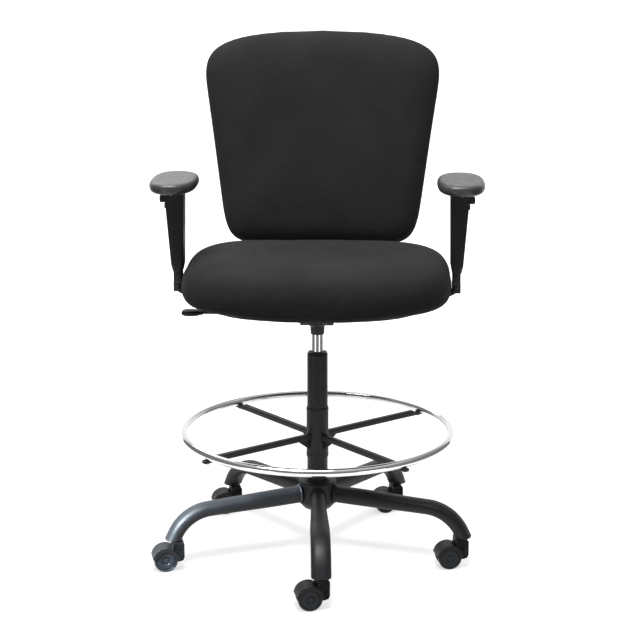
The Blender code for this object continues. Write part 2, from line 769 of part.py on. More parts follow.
# ---------------------------------------------------------------- seat
def seat_ring(scale, z, count=32):
    """Plan outline of the seat at one height: square at the back, bowed at the front."""
    ring = []
    for k in range(count):
        t = 2 * math.pi * k / count
        front = math.sin(t) < 0
        x, y = superellipse(t, 2.7 if front else 4.5)
        ring.append((
            x * SEAT_HALF_WIDTH * scale, SEAT_CENTRE_Y + y * SEAT_HALF_DEPTH * scale, z
        ))
    return ring


def seat_plan(scale):
    """The same outline as (x, y) about the seat's own centre."""
    return [(x, y - SEAT_CENTRE_Y) for x, y, _ in seat_ring(scale, 0.0)]


def seat():
    sections = (
        (0.82, SEAT_BOTTOM_Z), (0.93, 0.652), (0.985, 0.671), (1.0, 0.690), (0.985, 0.714),
        (0.930, 0.739), (0.820, 0.755), (0.600, 0.764), (0.300, SEAT_TOP_Z),
    )
    cushion = loft(
        "seat_cushion", [seat_ring(scale, z) for scale, z in sections], "black_fabric"
    )
    board_low = PLATE_TOP_Z + GAP
    middle = (board_low + BOARD_TOP_Z) / 2
    at = Matrix.Translation((0, SEAT_CENTRE_Y, middle))
    thick = BOARD_TOP_Z - board_low
    plate("seat_board", seat_plan(0.745), thick, "plywood", at)
    pocket = plate("board_pocket", seat_plan(0.747), thick + 0.02, None, at)
    pocket.location.z -= 0.01 - GAP
    cut(cushion, pocket, *(arm_slot(side, sign) for side, sign in SIDES))

    cover_thick = 0.0025
    cover_high = SEAT_BOTTOM_Z - GAP
    at = Matrix.Translation((0, SEAT_CENTRE_Y, cover_high - cover_thick / 2))
    cover = plate("seat_bottom_cover", seat_plan(0.785), cover_thick, "black_plastic", at)
    window = box(
        "cover_window", (-PLATE_X - GAP, PLATE_Y[0] - GAP, 0.60),
        (PLATE_X + GAP, PLATE_Y[1] + GAP, 0.70),
    )
    cut(cover, window)


# ---------------------------------------------------------------- back
def back_point(x, z, depth):
    """Point of the back in world space: depth counts rearward from the raked front face."""
    return (x, BACK_FRONT_Y + BACK_RAKE * (z - BACK_BOTTOM_Z) + depth, z)


def back_outline(scale, depth, count=36):
    """Outline of the back, wider towards the top, with square bottom and arched top."""
    middle = (BACK_TOP_Z + BACK_BOTTOM_Z) / 2
    half = (BACK_TOP_Z - BACK_BOTTOM_Z) / 2
    ring = []
    for k in range(count):
        t = 2 * math.pi * k / count
        upper = math.sin(t) > 0
        x, v = superellipse(t, 6.0 if upper else 9.0)
        rise = half * v * scale
        width = (BACK_WIDTH_AT_MID + BACK_FLARE * rise) * scale
        arch = BACK_ARCH * x * x * v * v if upper else 0.0
        ring.append(back_point(x * width, middle + rise - arch, depth))
    return ring


def back():
    sections = (
        (0.40, 0.000), (0.70, 0.003), (0.90, 0.013), (0.970, 0.026), (1.0, 0.045),
        (0.995, 0.060), (0.965, 0.072),
    )
    cushion = loft(
        "back_cushion", [back_outline(scale, depth) for scale, depth in sections], "black_fabric"
    )
    loft(
        "back_board", [back_outline(0.80, depth, 24) for depth in (0.062, 0.0717)], "plywood"
    )
    pocket = loft("back_pocket", [back_outline(0.802, depth, 24) for depth in (0.0617, 0.09)])
    cut(cushion, pocket)

    shell_rings = [
        back_outline(scale, depth)
        for scale, depth in (
            (0.690, 0.0955), (0.888, 0.0930), (0.934, 0.0815), (0.934, 0.0732),
            (0.945, 0.0732), (0.945, 0.0830), (0.900, 0.0960), (0.700, SHELL_DEPTH),
        )
    ]
    loft("back_shell", shell_rings, "black_plastic")


def back_bar_path():
    """Centre line (y, z) of the flat upright: back under the seat, then up the back."""
    low_z, top_z = BAR_Z
    lean = math.atan(BACK_RAKE)
    behind = BACK_FRONT_Y + SHELL_DEPTH + BAR_THICKNESS / 2 + 0.0005
    top = (behind + BACK_RAKE * (top_z - BACK_BOTTOM_Z), top_z)
    radius = BAR_BEND
    # The upright's line meets the level run at this y.
    meet = behind + BACK_RAKE * (low_z - BACK_BOTTOM_Z)
    turn = math.pi / 2 - lean
    setback = radius * math.tan(turn / 2)
    start = (meet - setback, low_z)
    bend = arc((start[0], low_z + radius), radius, -90, -90 + math.degrees(turn), 7)
    return [(0.070, low_z)] + bend + [top]


def strip_outline(path, thickness):
    """Closed outline of a flat strip that follows a path in its plane."""
    left = []
    right = []
    for i, point in enumerate(path):
        before = Vector(path[max(i - 1, 0)])
        after = Vector(path[min(i + 1, len(path) - 1)])
        along = (after - before).normalized()
        across = Vector((-along.y, along.x)) * thickness / 2
        left.append(tuple(Vector(point) + across))
        right.append(tuple(Vector(point) - across))
    return left + right[::-1]


def back_bar():
    outline = strip_outline(back_bar_path(), BAR_THICKNESS)
    side_plate("back_bar", outline, -0.030, 0.030, "black_steel")


# ---------------------------------------------------------------- arms
def cross_plate(name, outline_xz, y_low, y_high, kind=None):
    """Outline in the XZ plane, extruded from y_low to y_high."""
    matrix = Matrix((
        (1, 0, 0, 0), (0, 0, -1, (y_low + y_high) / 2), (0, 1, 0, 0), (0, 0, 0, 1),
    ))
    return plate(name, outline_xz, y_high - y_low, kind, matrix)


def mirrored(points, sign):
    return [(sign * x, z) for x, z in points]


def arm_strip_path():
    """Centre line (x, z): level under the seat, then up beside the cushion into the post."""
    level = ARM_STRIP_TOP_Z - ARM_STRIP_THICKNESS / 2
    upright_x = sum(ARM_POST_X) / 2
    return [
        (0.145, level), (0.262, level), (0.271, level + 0.0020), (0.298, 0.6615),
        (0.308, 0.6665), (0.3195, 0.6710), (0.327, 0.6760), (upright_x, 0.6840),
    ]


def arm_bracket(side, sign):
    outline = mirrored(strip_outline(arm_strip_path(), ARM_STRIP_THICKNESS), sign)
    bracket = cross_plate(f"arm_bracket_{side}", outline, *ARM_STRIP_Y, "black_steel")
    ends = sorted((sign * ARM_POST_X[0], sign * ARM_POST_X[1]))
    post = box(
        f"arm_post_{side}", (ends[0], ARM_POST_Y[0], ARM_POST_Z[0]),
        (ends[1], ARM_POST_Y[1], ARM_POST_Z[1]), bevel=0.003,
    )
    join(bracket, post)


def arm_slot(side, sign):
    """Space in the cushion's skirt for the arm's strip, open downwards."""
    clear = 0.0015
    path = [(x, z + ARM_STRIP_THICKNESS / 2 + clear) for x, z in arm_strip_path()[1:]]
    outline = [(path[0][0] - 0.004, 0.60), (path[0][0] - 0.004, path[0][1])] + path
    outline += [(0.345, path[-1][1]), (0.345, 0.60)]
    return cross_plate(
        f"arm_slot_{side}", mirrored(outline, sign), ARM_STRIP_Y[0] - clear, ARM_STRIP_Y[1] + clear
    )


def arm_sleeve(side, sign):
    """Tapered outer sleeve with a flat head; the post's bore runs up its inside."""
    middle_y = sum(ARM_POST_Y) / 2
    head_low, head_high = ARM_HEAD_Z
    sections = (
        (0.7150, 0.3198, 0.3425, 0.0255), (0.7330, 0.3165, 0.3465, 0.0270),
        (0.8800, 0.3140, 0.3575, 0.0300), (head_low - 0.0002, 0.3138, 0.3585, 0.0310),
        (head_low, 0.3105, 0.3695, 0.0450), (head_high, 0.3105, 0.3695, 0.0450),
    )
    rings = []
    for z, inner, outer, half_depth in sections:
        half = (outer - inner) / 2
        outline = rounded_rectangle(
            half, half_depth, 0.007, 3, (sign * (inner + outer) / 2, middle_y)
        )
        rings.append([(x, y, z) for x, y in outline])
    sleeve = loft(f"arm_sleeve_{side}", rings, "black_plastic")
    ends = sorted(sign * x for x in LEDGE_X)
    ledge = box(
        f"sleeve_ledge_{side}", (ends[0], middle_y - 0.0115, LEDGE_Z[0]),
        (ends[1], middle_y + 0.0115, LEDGE_Z[1]),
    )
    slack = POST_SLACK
    ends = sorted((sign * (ARM_POST_X[0] - slack), sign * (ARM_POST_X[1] + slack)))
    bore = box(
        f"sleeve_bore_{side}", (ends[0], ARM_POST_Y[0] - slack, 0.70),
        (ends[1], ARM_POST_Y[1] + slack, head_low + 0.0013),
    )
    ends = sorted((sign * POCKET_X[0], sign * POCKET_X[1]))
    deep = BUTTON_HALF_DEPTH + 0.0005
    pocket = box(
        f"button_pocket_{side}", (ends[0], middle_y - deep, BUTTON_Z[0] - 0.0005),
        (ends[1], middle_y + deep, BUTTON_Z[1] + 0.0005),
    )
    join(sleeve, ledge)
    cut(sleeve, bore, pocket)


def arm_button(side, sign):
    middle_y = sum(ARM_POST_Y) / 2
    ends = sorted(sign * x for x in BUTTON_X)
    box(
        f"arm_button_{side}", (ends[0], middle_y - BUTTON_HALF_DEPTH, BUTTON_Z[0]),
        (ends[1], middle_y + BUTTON_HALF_DEPTH, BUTTON_Z[1]), "black_plastic", bevel=0.002,
    )


def arm_pad(side, sign):
    centre_x = sign * sum(ARM_PAD_X) / 2
    centre_y = sum(ARM_PAD_Y) / 2
    half_x = (ARM_PAD_X[1] - ARM_PAD_X[0]) / 2
    half_y = (ARM_PAD_Y[1] - ARM_PAD_Y[0]) / 2
    low, high = ARM_PAD_Z
    sections = (
        (low, 0.84), (low + 0.004, 0.94), (low + 0.012, 1.0), (high - 0.007, 0.985),
        (high - 0.002, 0.91), (high, 0.78),
    )
    rings = []
    for z, scale in sections:
        ring = []
        for k in range(24):
            x, y = superellipse(2 * math.pi * k / 24, 2.6)
            ring.append((
                centre_x + x * (half_x - (1 - scale) * half_x),
                centre_y + y * (half_y - (1 - scale) * half_x),
                z,
            ))
        rings.append(ring)
    loft(f"arm_pad_{side}", rings, "arm_pad_skin")


def arms():
    for side, sign in SIDES:
        arm_bracket(side, sign)
        arm_sleeve(side, sign)
        arm_button(side, sign)
        arm_pad(side, sign)


# ---------------------------------------------------------------- assembly
base_hub()
base_legs()
casters()
gas_lift()
foot_ring()
foot_spider()
foot_liner_and_knob()
mechanism_body()
seat_plate()
tilt_fittings()
height_lever()
seat()
back()
back_bar()
arms()
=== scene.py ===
"""Drafting chair: the visible pieces and their materials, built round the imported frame."""

import json
import math

import bmesh
import bpy
from mathutils import Matrix, Vector, noise
from mathutils.bvhtree import BVHTree

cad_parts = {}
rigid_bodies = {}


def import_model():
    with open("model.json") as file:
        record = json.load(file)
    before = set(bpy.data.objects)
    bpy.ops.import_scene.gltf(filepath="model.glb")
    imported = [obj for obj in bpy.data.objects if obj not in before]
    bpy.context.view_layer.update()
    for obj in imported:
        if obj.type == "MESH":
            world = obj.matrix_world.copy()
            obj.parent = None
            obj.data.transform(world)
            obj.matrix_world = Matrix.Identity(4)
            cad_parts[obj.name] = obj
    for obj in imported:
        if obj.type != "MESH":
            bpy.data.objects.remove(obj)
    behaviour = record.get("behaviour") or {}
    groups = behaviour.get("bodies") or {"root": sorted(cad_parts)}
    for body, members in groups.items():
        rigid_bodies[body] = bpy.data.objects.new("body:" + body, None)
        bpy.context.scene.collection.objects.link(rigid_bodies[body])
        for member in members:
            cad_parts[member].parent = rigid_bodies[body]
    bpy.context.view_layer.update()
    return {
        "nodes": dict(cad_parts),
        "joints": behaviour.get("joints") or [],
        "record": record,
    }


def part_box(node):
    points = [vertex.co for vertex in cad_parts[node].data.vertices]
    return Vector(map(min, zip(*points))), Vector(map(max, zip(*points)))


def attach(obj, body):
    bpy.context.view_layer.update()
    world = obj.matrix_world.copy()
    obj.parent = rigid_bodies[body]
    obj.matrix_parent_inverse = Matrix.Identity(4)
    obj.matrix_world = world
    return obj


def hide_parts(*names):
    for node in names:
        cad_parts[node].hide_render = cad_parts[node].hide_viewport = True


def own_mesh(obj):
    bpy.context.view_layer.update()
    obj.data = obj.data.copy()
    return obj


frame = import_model()

UP = Vector((0.0, 0.0, 1.0))
GAP = 0.0003                    # clearance between touching pieces
LEGS = range(1, 6)
SIDES = (("left", -1.0), ("right", 1.0))


# ---------------------------------------------------------------- sizes read from the frame
def joint(name):
    return next(j for j in frame["joints"] if j["name"] == name)


def low(node):
    return Vector(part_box(node)[0])


def high(node):
    return Vector(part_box(node)[1])


def centre(node):
    return (low(node) + high(node)) / 2


def half_width(node):
    return (high(node).x - low(node).x) / 2


# ---------------------------------------------------------------- material nodes
class Shader:
    """A Principled material under construction, with short helpers for its nodes."""

    def __init__(self, name, colour, roughness, metallic=0.0):
        self.material = bpy.data.materials.new(name)
        self.material.use_nodes = True
        self.tree = self.material.node_tree
        self.bsdf = self.tree.nodes["Principled BSDF"]
        self.put("Base Color", (*colour, 1.0))
        self.put("Roughness", roughness)
        self.put("Metallic", metallic)
        self.coords = self.node("ShaderNodeTexCoord").outputs["Object"]

    def put(self, socket, value):
        self.bsdf.inputs[socket].default_value = value

    def node(self, kind, **settings):
        made = self.tree.nodes.new(kind)
        for key, value in settings.items():
            setattr(made, key, value)
        return made

    def link(self, source, target):
        self.tree.links.new(source, target)

    def scaled(self, factors, turn=(0.0, 0.0, 0.0)):
        """Object coordinates stretched per axis."""
        mapping = self.node("ShaderNodeMapping")
        mapping.inputs["Scale"].default_value = factors
        mapping.inputs["Rotation"].default_value = turn
        self.link(self.coords, mapping.inputs["Vector"])
        return mapping.outputs["Vector"]

    def noise(self, scale, detail=2.0, vector=None, roughness=0.5):
        made = self.node("ShaderNodeTexNoise")
        made.inputs["Scale"].default_value = scale
        made.inputs["Detail"].default_value = detail
        made.inputs["Roughness"].default_value = roughness
        self.link(vector or self.coords, made.inputs["Vector"])
        return made.outputs["Fac"]

    def cells(self, scale, feature="F1", vector=None):
        made = self.node("ShaderNodeTexVoronoi", feature=feature)
        made.inputs["Scale"].default_value = scale
        self.link(vector or self.coords, made.inputs["Vector"])
        return made.outputs["Distance"]

    def waves(self, scale, direction, distortion=0.0, vector=None):
        made = self.node("ShaderNodeTexWave", bands_direction=direction)
        made.inputs["Scale"].default_value = scale
        made.inputs["Distortion"].default_value = distortion
        made.inputs["Detail"].default_value = 1.0
        made.inputs["Detail Scale"].default_value = 1.5
        self.link(vector or self.coords, made.inputs["Vector"])
        return made.outputs["Fac"]

    def maths(self, operation, first, second):
        made = self.node("ShaderNodeMath", operation=operation)
        for socket, value in zip(made.inputs, (first, second)):
            if isinstance(value, (int, float)):
                socket.default_value = value
            else:
                self.link(value, socket)
        return made.outputs[0]

    def ramp(self, value, stops):
        """Colour ramp; stops are (position, (r, g, b))."""
        made = self.node("ShaderNodeValToRGB")
        elements = made.color_ramp.elements
        while len(elements) < len(stops):
            elements.new(0.5)
        for element, (position, colour) in zip(elements, stops):
            element.position = position
            element.color = (*colour, 1.0)
        self.link(value, made.inputs["Fac"])
        return made.outputs["Color"]

    def spread(self, value, lowest, highest, start=0.3, end=0.7):
        made = self.node("ShaderNodeMapRange")
        made.inputs["From Min"].default_value = start
        made.inputs["From Max"].default_value = end
        made.inputs["To Min"].default_value = lowest
        made.inputs["To Max"].default_value = highest
        self.link(value, made.inputs["Value"])
        return made.outputs["Result"]

    def mix(self, factor, first, second):
        made = self.node("ShaderNodeMix", data_type="RGBA")
        self.link(factor, made.inputs["Factor"])
        for key, value in (("A", first), ("B", second)):
            socket = next(s for s in made.inputs if s.name == key and s.type == "RGBA")
            if isinstance(value, tuple):
                socket.default_value = (*value, 1.0)
            else:
                self.link(value, socket)
        return next(s for s in made.outputs if s.type == "RGBA")

    def painted_edge_highlight_mask(self, start=0.54, end=0.62):
        """Mask of the painted edge highlight: 0 on flat stretches and 1 on sharp convex edges."""
        point = self.node("ShaderNodeNewGeometry").outputs["Pointiness"]
        return self.spread(point, 0.0, 1.0, start, end)

    def colour(self, source):
        self.link(source, self.bsdf.inputs["Base Color"])

    def roughness(self, source):
        self.link(source, self.bsdf.inputs["Roughness"])

    def bump(self, height, distance, strength=1.0):
        made = self.node("ShaderNodeBump")
        made.inputs["Distance"].default_value = distance
        made.inputs["Strength"].default_value = strength
        self.link(height, made.inputs["Height"])
        previous = self.bsdf.inputs["Normal"]
        if previous.is_linked:
            self.link(previous.links[0].from_socket, made.inputs["Normal"])
        self.link(made.outputs["Normal"], previous)


def fabric_material():
    """Black knitted upholstery: fine crossing ribs, faint fleck and a soft nap."""
    s = Shader("black_upholstery", FABRIC_BLACK, 0.92)
    s.put("Specular IOR Level", 0.22)
    across = s.waves(230.0, "X", 0.6)
    along = s.waves(230.0, "Z", 0.6)
    depth = s.waves(230.0, "Y", 0.6)
    knit = s.maths("MULTIPLY", s.maths("ADD", across, depth), along)
    fleck = s.noise(900.0, 2.0)
    cloud = s.noise(9.0, 3.0)
    shade = s.maths("ADD", s.maths("MULTIPLY", fleck, 0.5), s.maths("MULTIPLY", cloud, 0.5))
    dark = tuple(0.80 * c for c in FABRIC_BLACK)
    light = tuple(1.25 * c for c in FABRIC_BLACK)
    s.colour(s.ramp(shade, ((0.35, dark), (0.65, light))))
    s.bump(s.noise(60.0, 3.0), 0.0006, 0.25)
    s.bump(knit, 0.0004, 0.55)
    return s.material


def powder_coat_material():
    """Black powder-coated steel with fine orange peel and a painted highlight that lightens its sharp
    edges.
    """
    s = Shader("black_powder_coat", (0.010, 0.011, 0.0125), 0.42)
    s.put("Specular IOR Level", 0.4)
    tone = s.ramp(s.noise(14.0, 3.0), ((0.3, (0.009, 0.010, 0.0115)), (0.7, (0.013, 0.014, 0.016))))
    # sharp edges mixed towards a lighter grey: a painted edge highlight
    s.colour(s.mix(s.painted_edge_highlight_mask(), tone, (0.030, 0.032, 0.036)))
    s.roughness(s.spread(s.noise(30.0, 3.0), 0.44, 0.56))
    s.bump(s.noise(700.0, 2.0), 0.0002, 0.35)
    return s.material


def chrome_material():
    """Bright chrome plate with the faintest haze."""
    s = Shader("chrome_plate", (0.86, 0.86, 0.87), 0.07, 1.0)
    s.roughness(s.spread(s.noise(18.0, 4.0), 0.05, 0.13))
    s.bump(s.noise(26.0, 2.0), 0.0004, 0.06)
    return s.material


def steel_material():
    """Zinc-plated steel of pins, stems and springs."""
    s = Shader("plated_steel", (0.52, 0.52, 0.53), 0.30, 1.0)
    s.colour(s.ramp(s.noise(80.0, 3.0), ((0.3, (0.44, 0.44, 0.45)), (0.7, (0.60, 0.60, 0.60)))))
    s.roughness(s.spread(s.noise(120.0, 3.0), 0.22, 0.40))
    return s.material


def moulded_plastic_material(name, colour, rough, grain=1100.0):
    """Moulded plastic with a fine spark-eroded texture and a painted highlight that lightens its
    sharp edges.
    """
    s = Shader(name, colour, rough)
    s.put("Specular IOR Level", 0.3)
    # lighter colour laid on the sharp edges: a painted edge highlight
    painted_edge_highlight_colour = tuple(1.6 * c + 0.006 for c in colour)
    darker = tuple(0.85 * c for c in colour)
    tone = s.ramp(s.noise(20.0, 3.0), ((0.3, darker), (0.7, tuple(1.1 * c for c in colour))))
    s.colour(s.mix(s.painted_edge_highlight_mask(), tone, painted_edge_highlight_colour))
    s.roughness(s.spread(s.noise(45.0, 3.0), rough - 0.06, rough + 0.06))
    s.bump(s.cells(grain), 0.00012, 0.4)
    return s.material


def arm_pad_material():
    """Soft moulded skin of the arm pads: satin, with a small pebble grain."""
    s = Shader("arm_pad_skin", (0.045, 0.045, 0.046), 0.36)
    s.put("Specular IOR Level", 0.6)
    tone = s.ramp(s.noise(25.0, 3.0), ((0.3, (0.038, 0.038, 0.039)), (0.7, (0.052, 0.052, 0.053))))
    s.colour(tone)
    s.roughness(s.spread(s.noise(60.0, 3.0), 0.32, 0.44))
    s.bump(s.cells(850.0), 0.00025, 0.45)
    return s.material


def plywood_material():
    """Birch plywood: long grain on the faces and thin plies at the edges."""
    s = Shader("birch_plywood", (0.55, 0.40, 0.24), 0.65)
    grain = s.noise(7.0, 5.0, s.scaled((1.0, 14.0, 1.0)))
    plies = s.waves(180.0, "Z", 0.4)
    both = s.maths("ADD", s.maths("MULTIPLY", grain, 0.7), s.maths("MULTIPLY", plies, 0.3))
    s.colour(s.ramp(both, ((0.3, (0.40, 0.27, 0.15)), (0.7, (0.66, 0.50, 0.31)))))
    s.bump(grain, 0.0003, 0.4)
    return s.material


def floor_material():
    s = Shader("studio_floor", (0.90, 0.90, 0.90), 0.55)
    s.put("Specular IOR Level", 0.15)
    spread = s.node("ShaderNodeVectorMath", operation="LENGTH")
    s.link(s.coords, spread.inputs[0])
    away = s.spread(spread.outputs["Value"], 0.0, 1.0, 0.9, 2.4)
    near = (FLOOR_GLOW, FLOOR_GLOW, FLOOR_GLOW)
    s.link(s.ramp(away, ((0.0, near), (1.0, (1.0, 1.0, 1.0)))), s.bsdf.inputs["Emission Color"])
    s.put("Emission Strength", 1.0)
    return s.material


FABRIC_BLACK = (0.0186, 0.0174, 0.0174)
FLOOR_GLOW = 0.58

FABRIC = fabric_material()
POWDER = powder_coat_material()
CHROME = chrome_material()
STEEL = steel_material()
PLASTIC = moulded_plastic_material("black_moulding", (0.007, 0.007, 0.0075), 0.50)
TRIM = moulded_plastic_material("dark_guide_plastic", (0.035, 0.035, 0.036), 0.42)
NYLON = moulded_plastic_material("slate_nylon", (0.016, 0.020, 0.025), 0.42, 1500.0)
PAD = arm_pad_material()
PLYWOOD = plywood_material()

LOOKS = {
    "black_steel": POWDER, "chrome": CHROME, "bright_steel": STEEL, "black_plastic": PLASTIC,
    "wheel_nylon": NYLON, "black_fabric": FABRIC, "arm_pad_skin": PAD, "plywood": PLYWOOD,
    "guide_plastic": TRIM,
}


def dress_frame():
    """Give every CAD node the detailed material of its slot."""
    slots = {p["node"]: p["material_slot"] for p in frame["record"]["subparts"]}
    for name, obj in frame["nodes"].items():
        for holder in obj.material_slots:
            holder.material = LOOKS[slots[name]]


# ---------------------------------------------------------------- shape helpers
def new_mesh(name, verts, faces, auto_angle=40.0):
    mesh = bpy.data.meshes.new(name)
    mesh.from_pydata([tuple(v) for v in verts], [], faces)
    bm = bmesh.new()
    bm.from_mesh(mesh)
    bmesh.ops.remove_doubles(bm, verts=bm.verts, dist=0.000005)
    bmesh.ops.recalc_face_normals(bm, faces=bm.faces)
    bm.to_mesh(mesh)
    bm.free()
    mesh.shade_smooth()
    mesh.set_sharp_from_angle(angle=math.radians(auto_angle))
    obj = bpy.data.objects.new(name, mesh)
    bpy.context.scene.collection.objects.link(obj)
    return obj


def settle(obj, body, slot, *nodes, look=None):
    """The piece's body, finish and the CAD nodes that it stands for."""
    obj.data.materials.clear()
    obj.data.materials.append(look or LOOKS[slot])
    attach(obj, body)
    if nodes:
        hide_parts(*nodes)
    return obj


def apply_modifiers(obj):
    graph = bpy.context.evaluated_depsgraph_get()
    bpy.context.view_layer.update()
    mesh = bpy.data.meshes.new_from_object(obj.evaluated_get(graph))
    old = obj.data
    obj.modifiers.clear()
    obj.data = mesh
    bpy.data.meshes.remove(old)
    return obj


def bevel(obj, width, segments=3, angle=35.0):
    step = obj.modifiers.new("edges", "BEVEL")
    step.width = width
    step.segments = segments
    step.limit_method = "ANGLE"
    step.angle_limit = math.radians(angle)
    step.harden_normals = False
    return obj


def fillet(points, radius, closed=False, count=5):
    """Round every corner of a 2D polyline; radius may be one number or one per corner."""
    out = []
    total = len(points)
    for i, point in enumerate(points):
        p = Vector(point)
        r = radius[i] if isinstance(radius, (list, tuple)) else radius
        if (not closed and i in (0, total - 1)) or r <= 0.0:
            out.append(tuple(p))
            continue
        a = Vector(points[i - 1]) - p
        b = Vector(points[(i + 1) % total]) - p
        reach_a, reach_b = a.length / 2, b.length / 2
        a.normalize()
        b.normalize()
        half = a.angle(b) / 2
        if half > math.radians(88):
            out.append(tuple(p))
            continue
        setback = min(r / math.tan(half), reach_a, reach_b)
        start, end = p + a * setback, p + b * setback
        for k in range(count + 1):
            t = k / count
            out.append(tuple(start * (1 - t) ** 2 + p * 2 * t * (1 - t) + end * t ** 2))
    return out


def turned(name, profile, origin=(0, 0, 0), axis=UP, sides=64, radius=0.0, count=4, closed=False):
    """Turned body: profile of (radius, height) along an axis through an origin."""
    outline = fillet(profile, radius, closed, count) if radius else list(profile)
    axis = Vector(axis).normalized()
    turn = UP.rotation_difference(axis).to_matrix()
    origin = Vector(origin)
    verts = []
    for k in range(sides):
        angle = 2 * math.pi * k / sides
        for r, z in outline:
            local = Vector((r * math.cos(angle), r * math.sin(angle), z))
            verts.append(origin + turn @ local)
    n = len(outline)
    faces = []
    spans = n if closed else n - 1
    for k in range(sides):
        for i in range(spans):
            j = (i + 1) % n
            m = (k + 1) % sides
            faces.append((k * n + i, m * n + i, m * n + j, k * n + j))
    return new_mesh(name, verts, faces)


def loft(name, rings, cap_start=True, cap_end=True, auto_angle=40.0):
    n = len(rings[0])
    verts = [co for ring in rings for co in ring]
    faces = []
    for r in range(len(rings) - 1):
        for i in range(n):
            j = (i + 1) % n
            faces.append((r * n + i, r * n + j, (r + 1) * n + j, (r + 1) * n + i))
    if cap_start:
        faces.append(tuple(range(n))[::-1])
    if cap_end:
        faces.append(tuple((len(rings) - 1) * n + i for i in range(n)))
    return new_mesh(name, verts, faces, auto_angle)


def slab(name, outline, origin, across, up, normal_low, normal_high, edge=0.0, segments=3):
    """A flat outline in the plane of two directions, thick along their normal."""
    across, up = Vector(across).normalized(), Vector(up).normalized()
    normal = across.cross(up)
    origin = Vector(origin)
    rings = []
    for d in (normal_low, normal_high):
        rings.append([origin + across * u + up * v + normal * d for u, v in outline])
    obj = loft(name, rings)
    if edge:
        bevel(obj, edge, segments)
    return obj


def pipe(name, points, radius, sides=16, caps=True):
    """Round tube along a list of points."""
    points = [Vector(p) for p in points]
    rings = []
    side = None
    for i, p in enumerate(points):
        along = (points[min(i + 1, len(points) - 1)] - points[max(i - 1, 0)]).normalized()
        if side is None:
            side = along.orthogonal().normalized()
        side = (side - along * side.dot(along)).normalized()
        other = along.cross(side)
        r = radius[i] if isinstance(radius, (list, tuple)) else radius
        rings.append([
            p + (side * math.cos(a) + other * math.sin(a)) * r
            for a in (2 * math.pi * k / sides for k in range(sides))
        ])
    return loft(name, rings, caps, caps)


def merge(name, objs):
    """Join several meshes into one object, modifiers applied."""
    bm = bmesh.new()
    for obj in objs:
        if obj.modifiers:
            apply_modifiers(obj)
        part = obj.data.copy()
        part.transform(obj.matrix_world)
        bm.from_mesh(part)
        bpy.data.meshes.remove(part)
    mesh = bpy.data.meshes.new(name)
    bm.to_mesh(mesh)
    bm.free()
    for obj in objs:
        bpy.data.objects.remove(obj, do_unlink=True)
    made = bpy.data.objects.new(name, mesh)
    bpy.context.scene.collection.objects.link(made)
    return made


def superellipse(t, power):
    c, s = math.cos(t), math.sin(t)
    return math.copysign(abs(c) ** (2 / power), c), math.copysign(abs(s) ** (2 / power), s)


def rounded_box(half_x, half_y, radius, count=5):
    corners = [(half_x, half_y), (-half_x, half_y), (-half_x, -half_y), (half_x, -half_y)]
    return fillet(corners, radius, True, count)


# ---------------------------------------------------------------- base
LEG_BEND = 0.100                # radius of a leg's bend
LEG_FALL = 0.045                # fall of its centre line per metre run
LEG_ROOT = 0.030                # where its centre line starts, from the column axis
LEG_ROOT_Z = 0.154
LEG_END_SLOPE = math.radians(67.0)
LEG_TIP_R = 0.3655
STEM_R = 0.0055


def leg_section(r, z, slope, turn, grow=0.0, sides=32):
    """Oval section of a leg, square to its centre line: tall at the hub, wide at the bend."""
    reach = LEG_TIP_R - LEG_ROOT
    along = min(1.0, max(0.0, (r - 0.10) / (reach - 0.16)))
    ease = along * along * (3 - 2 * along)
    half_wide = 0.0190 + 0.0045 * ease + grow
    half_tall = 0.0205 - 0.0035 * ease + grow
    ring = []
    for k in range(sides):
        u, v = superellipse(2 * math.pi * k / sides, 2.5)
        ring.append(turn @ Vector((
            r + math.sin(slope) * v * half_tall, u * half_wide, z + math.cos(slope) * v * half_tall
        )))
    return ring


def leg_stations():
    root_slope = math.atan(LEG_FALL)
    bend_r = LEG_TIP_R - LEG_BEND * (math.sin(LEG_END_SLOPE) - math.sin(root_slope))
    bend_z = LEG_ROOT_Z - LEG_FALL * (bend_r - LEG_ROOT)
    start = centre("base_hub").x + half_width("base_hub") - 0.004
    stations = []
    for i in range(10):
        r = start + (bend_r - start) * i / 9
        stations.append((r, LEG_ROOT_Z - LEG_FALL * (r - LEG_ROOT), root_slope))
    for i in range(1, 19):
        slope = root_slope + (LEG_END_SLOPE - root_slope) * i / 18
        stations.append((
            bend_r + LEG_BEND * (math.sin(slope) - math.sin(root_slope)),
            bend_z - LEG_BEND * (math.cos(root_slope) - math.cos(slope)),
            slope,
        ))
    return stations


def base_leg(number):
    node = f"base_leg_{number}"
    stem = Vector(joint(f"caster_swivel_{number}")["pos_m"])
    turn = Matrix.Rotation(math.atan2(stem.y, stem.x), 3, "Z")
    floor_z = low(node).z
    rings = []
    for r, z, slope in leg_stations():
        ring = leg_section(r, z, slope, turn)
        if min(p.z for p in ring) > floor_z + 0.001:
            rings.append(ring)
            last_slope = slope
    down = turn @ Vector((math.cos(last_slope), 0.0, -math.sin(last_slope)))
    rings.append([p + down * ((p.z - floor_z) / math.sin(last_slope)) for p in rings[-1]])
    leg = loft(node + "_tube", rings)
    bevel(leg, 0.0012, 2, 50.0)
    r, z, slope = leg_stations()[0]
    root = leg_section(r + 0.0045, z, slope, turn, 0.0006)
    weld = pipe(f"weld_{number}", root + root[:2], 0.0022, 8)
    settle(merge(f"leg_{number}", [leg, weld]), "base", "black_steel", node)
    plug_top = floor_z + 0.006
    plug = turned(
        f"leg_plug_{number}",
        [(0.0, floor_z + 0.0002), (0.0125, floor_z + 0.0002), (0.0125, plug_top), (0.0, plug_top)],
        (stem.x, stem.y, 0.0), sides=40,
    )
    settle(plug, "base", "black_plastic")


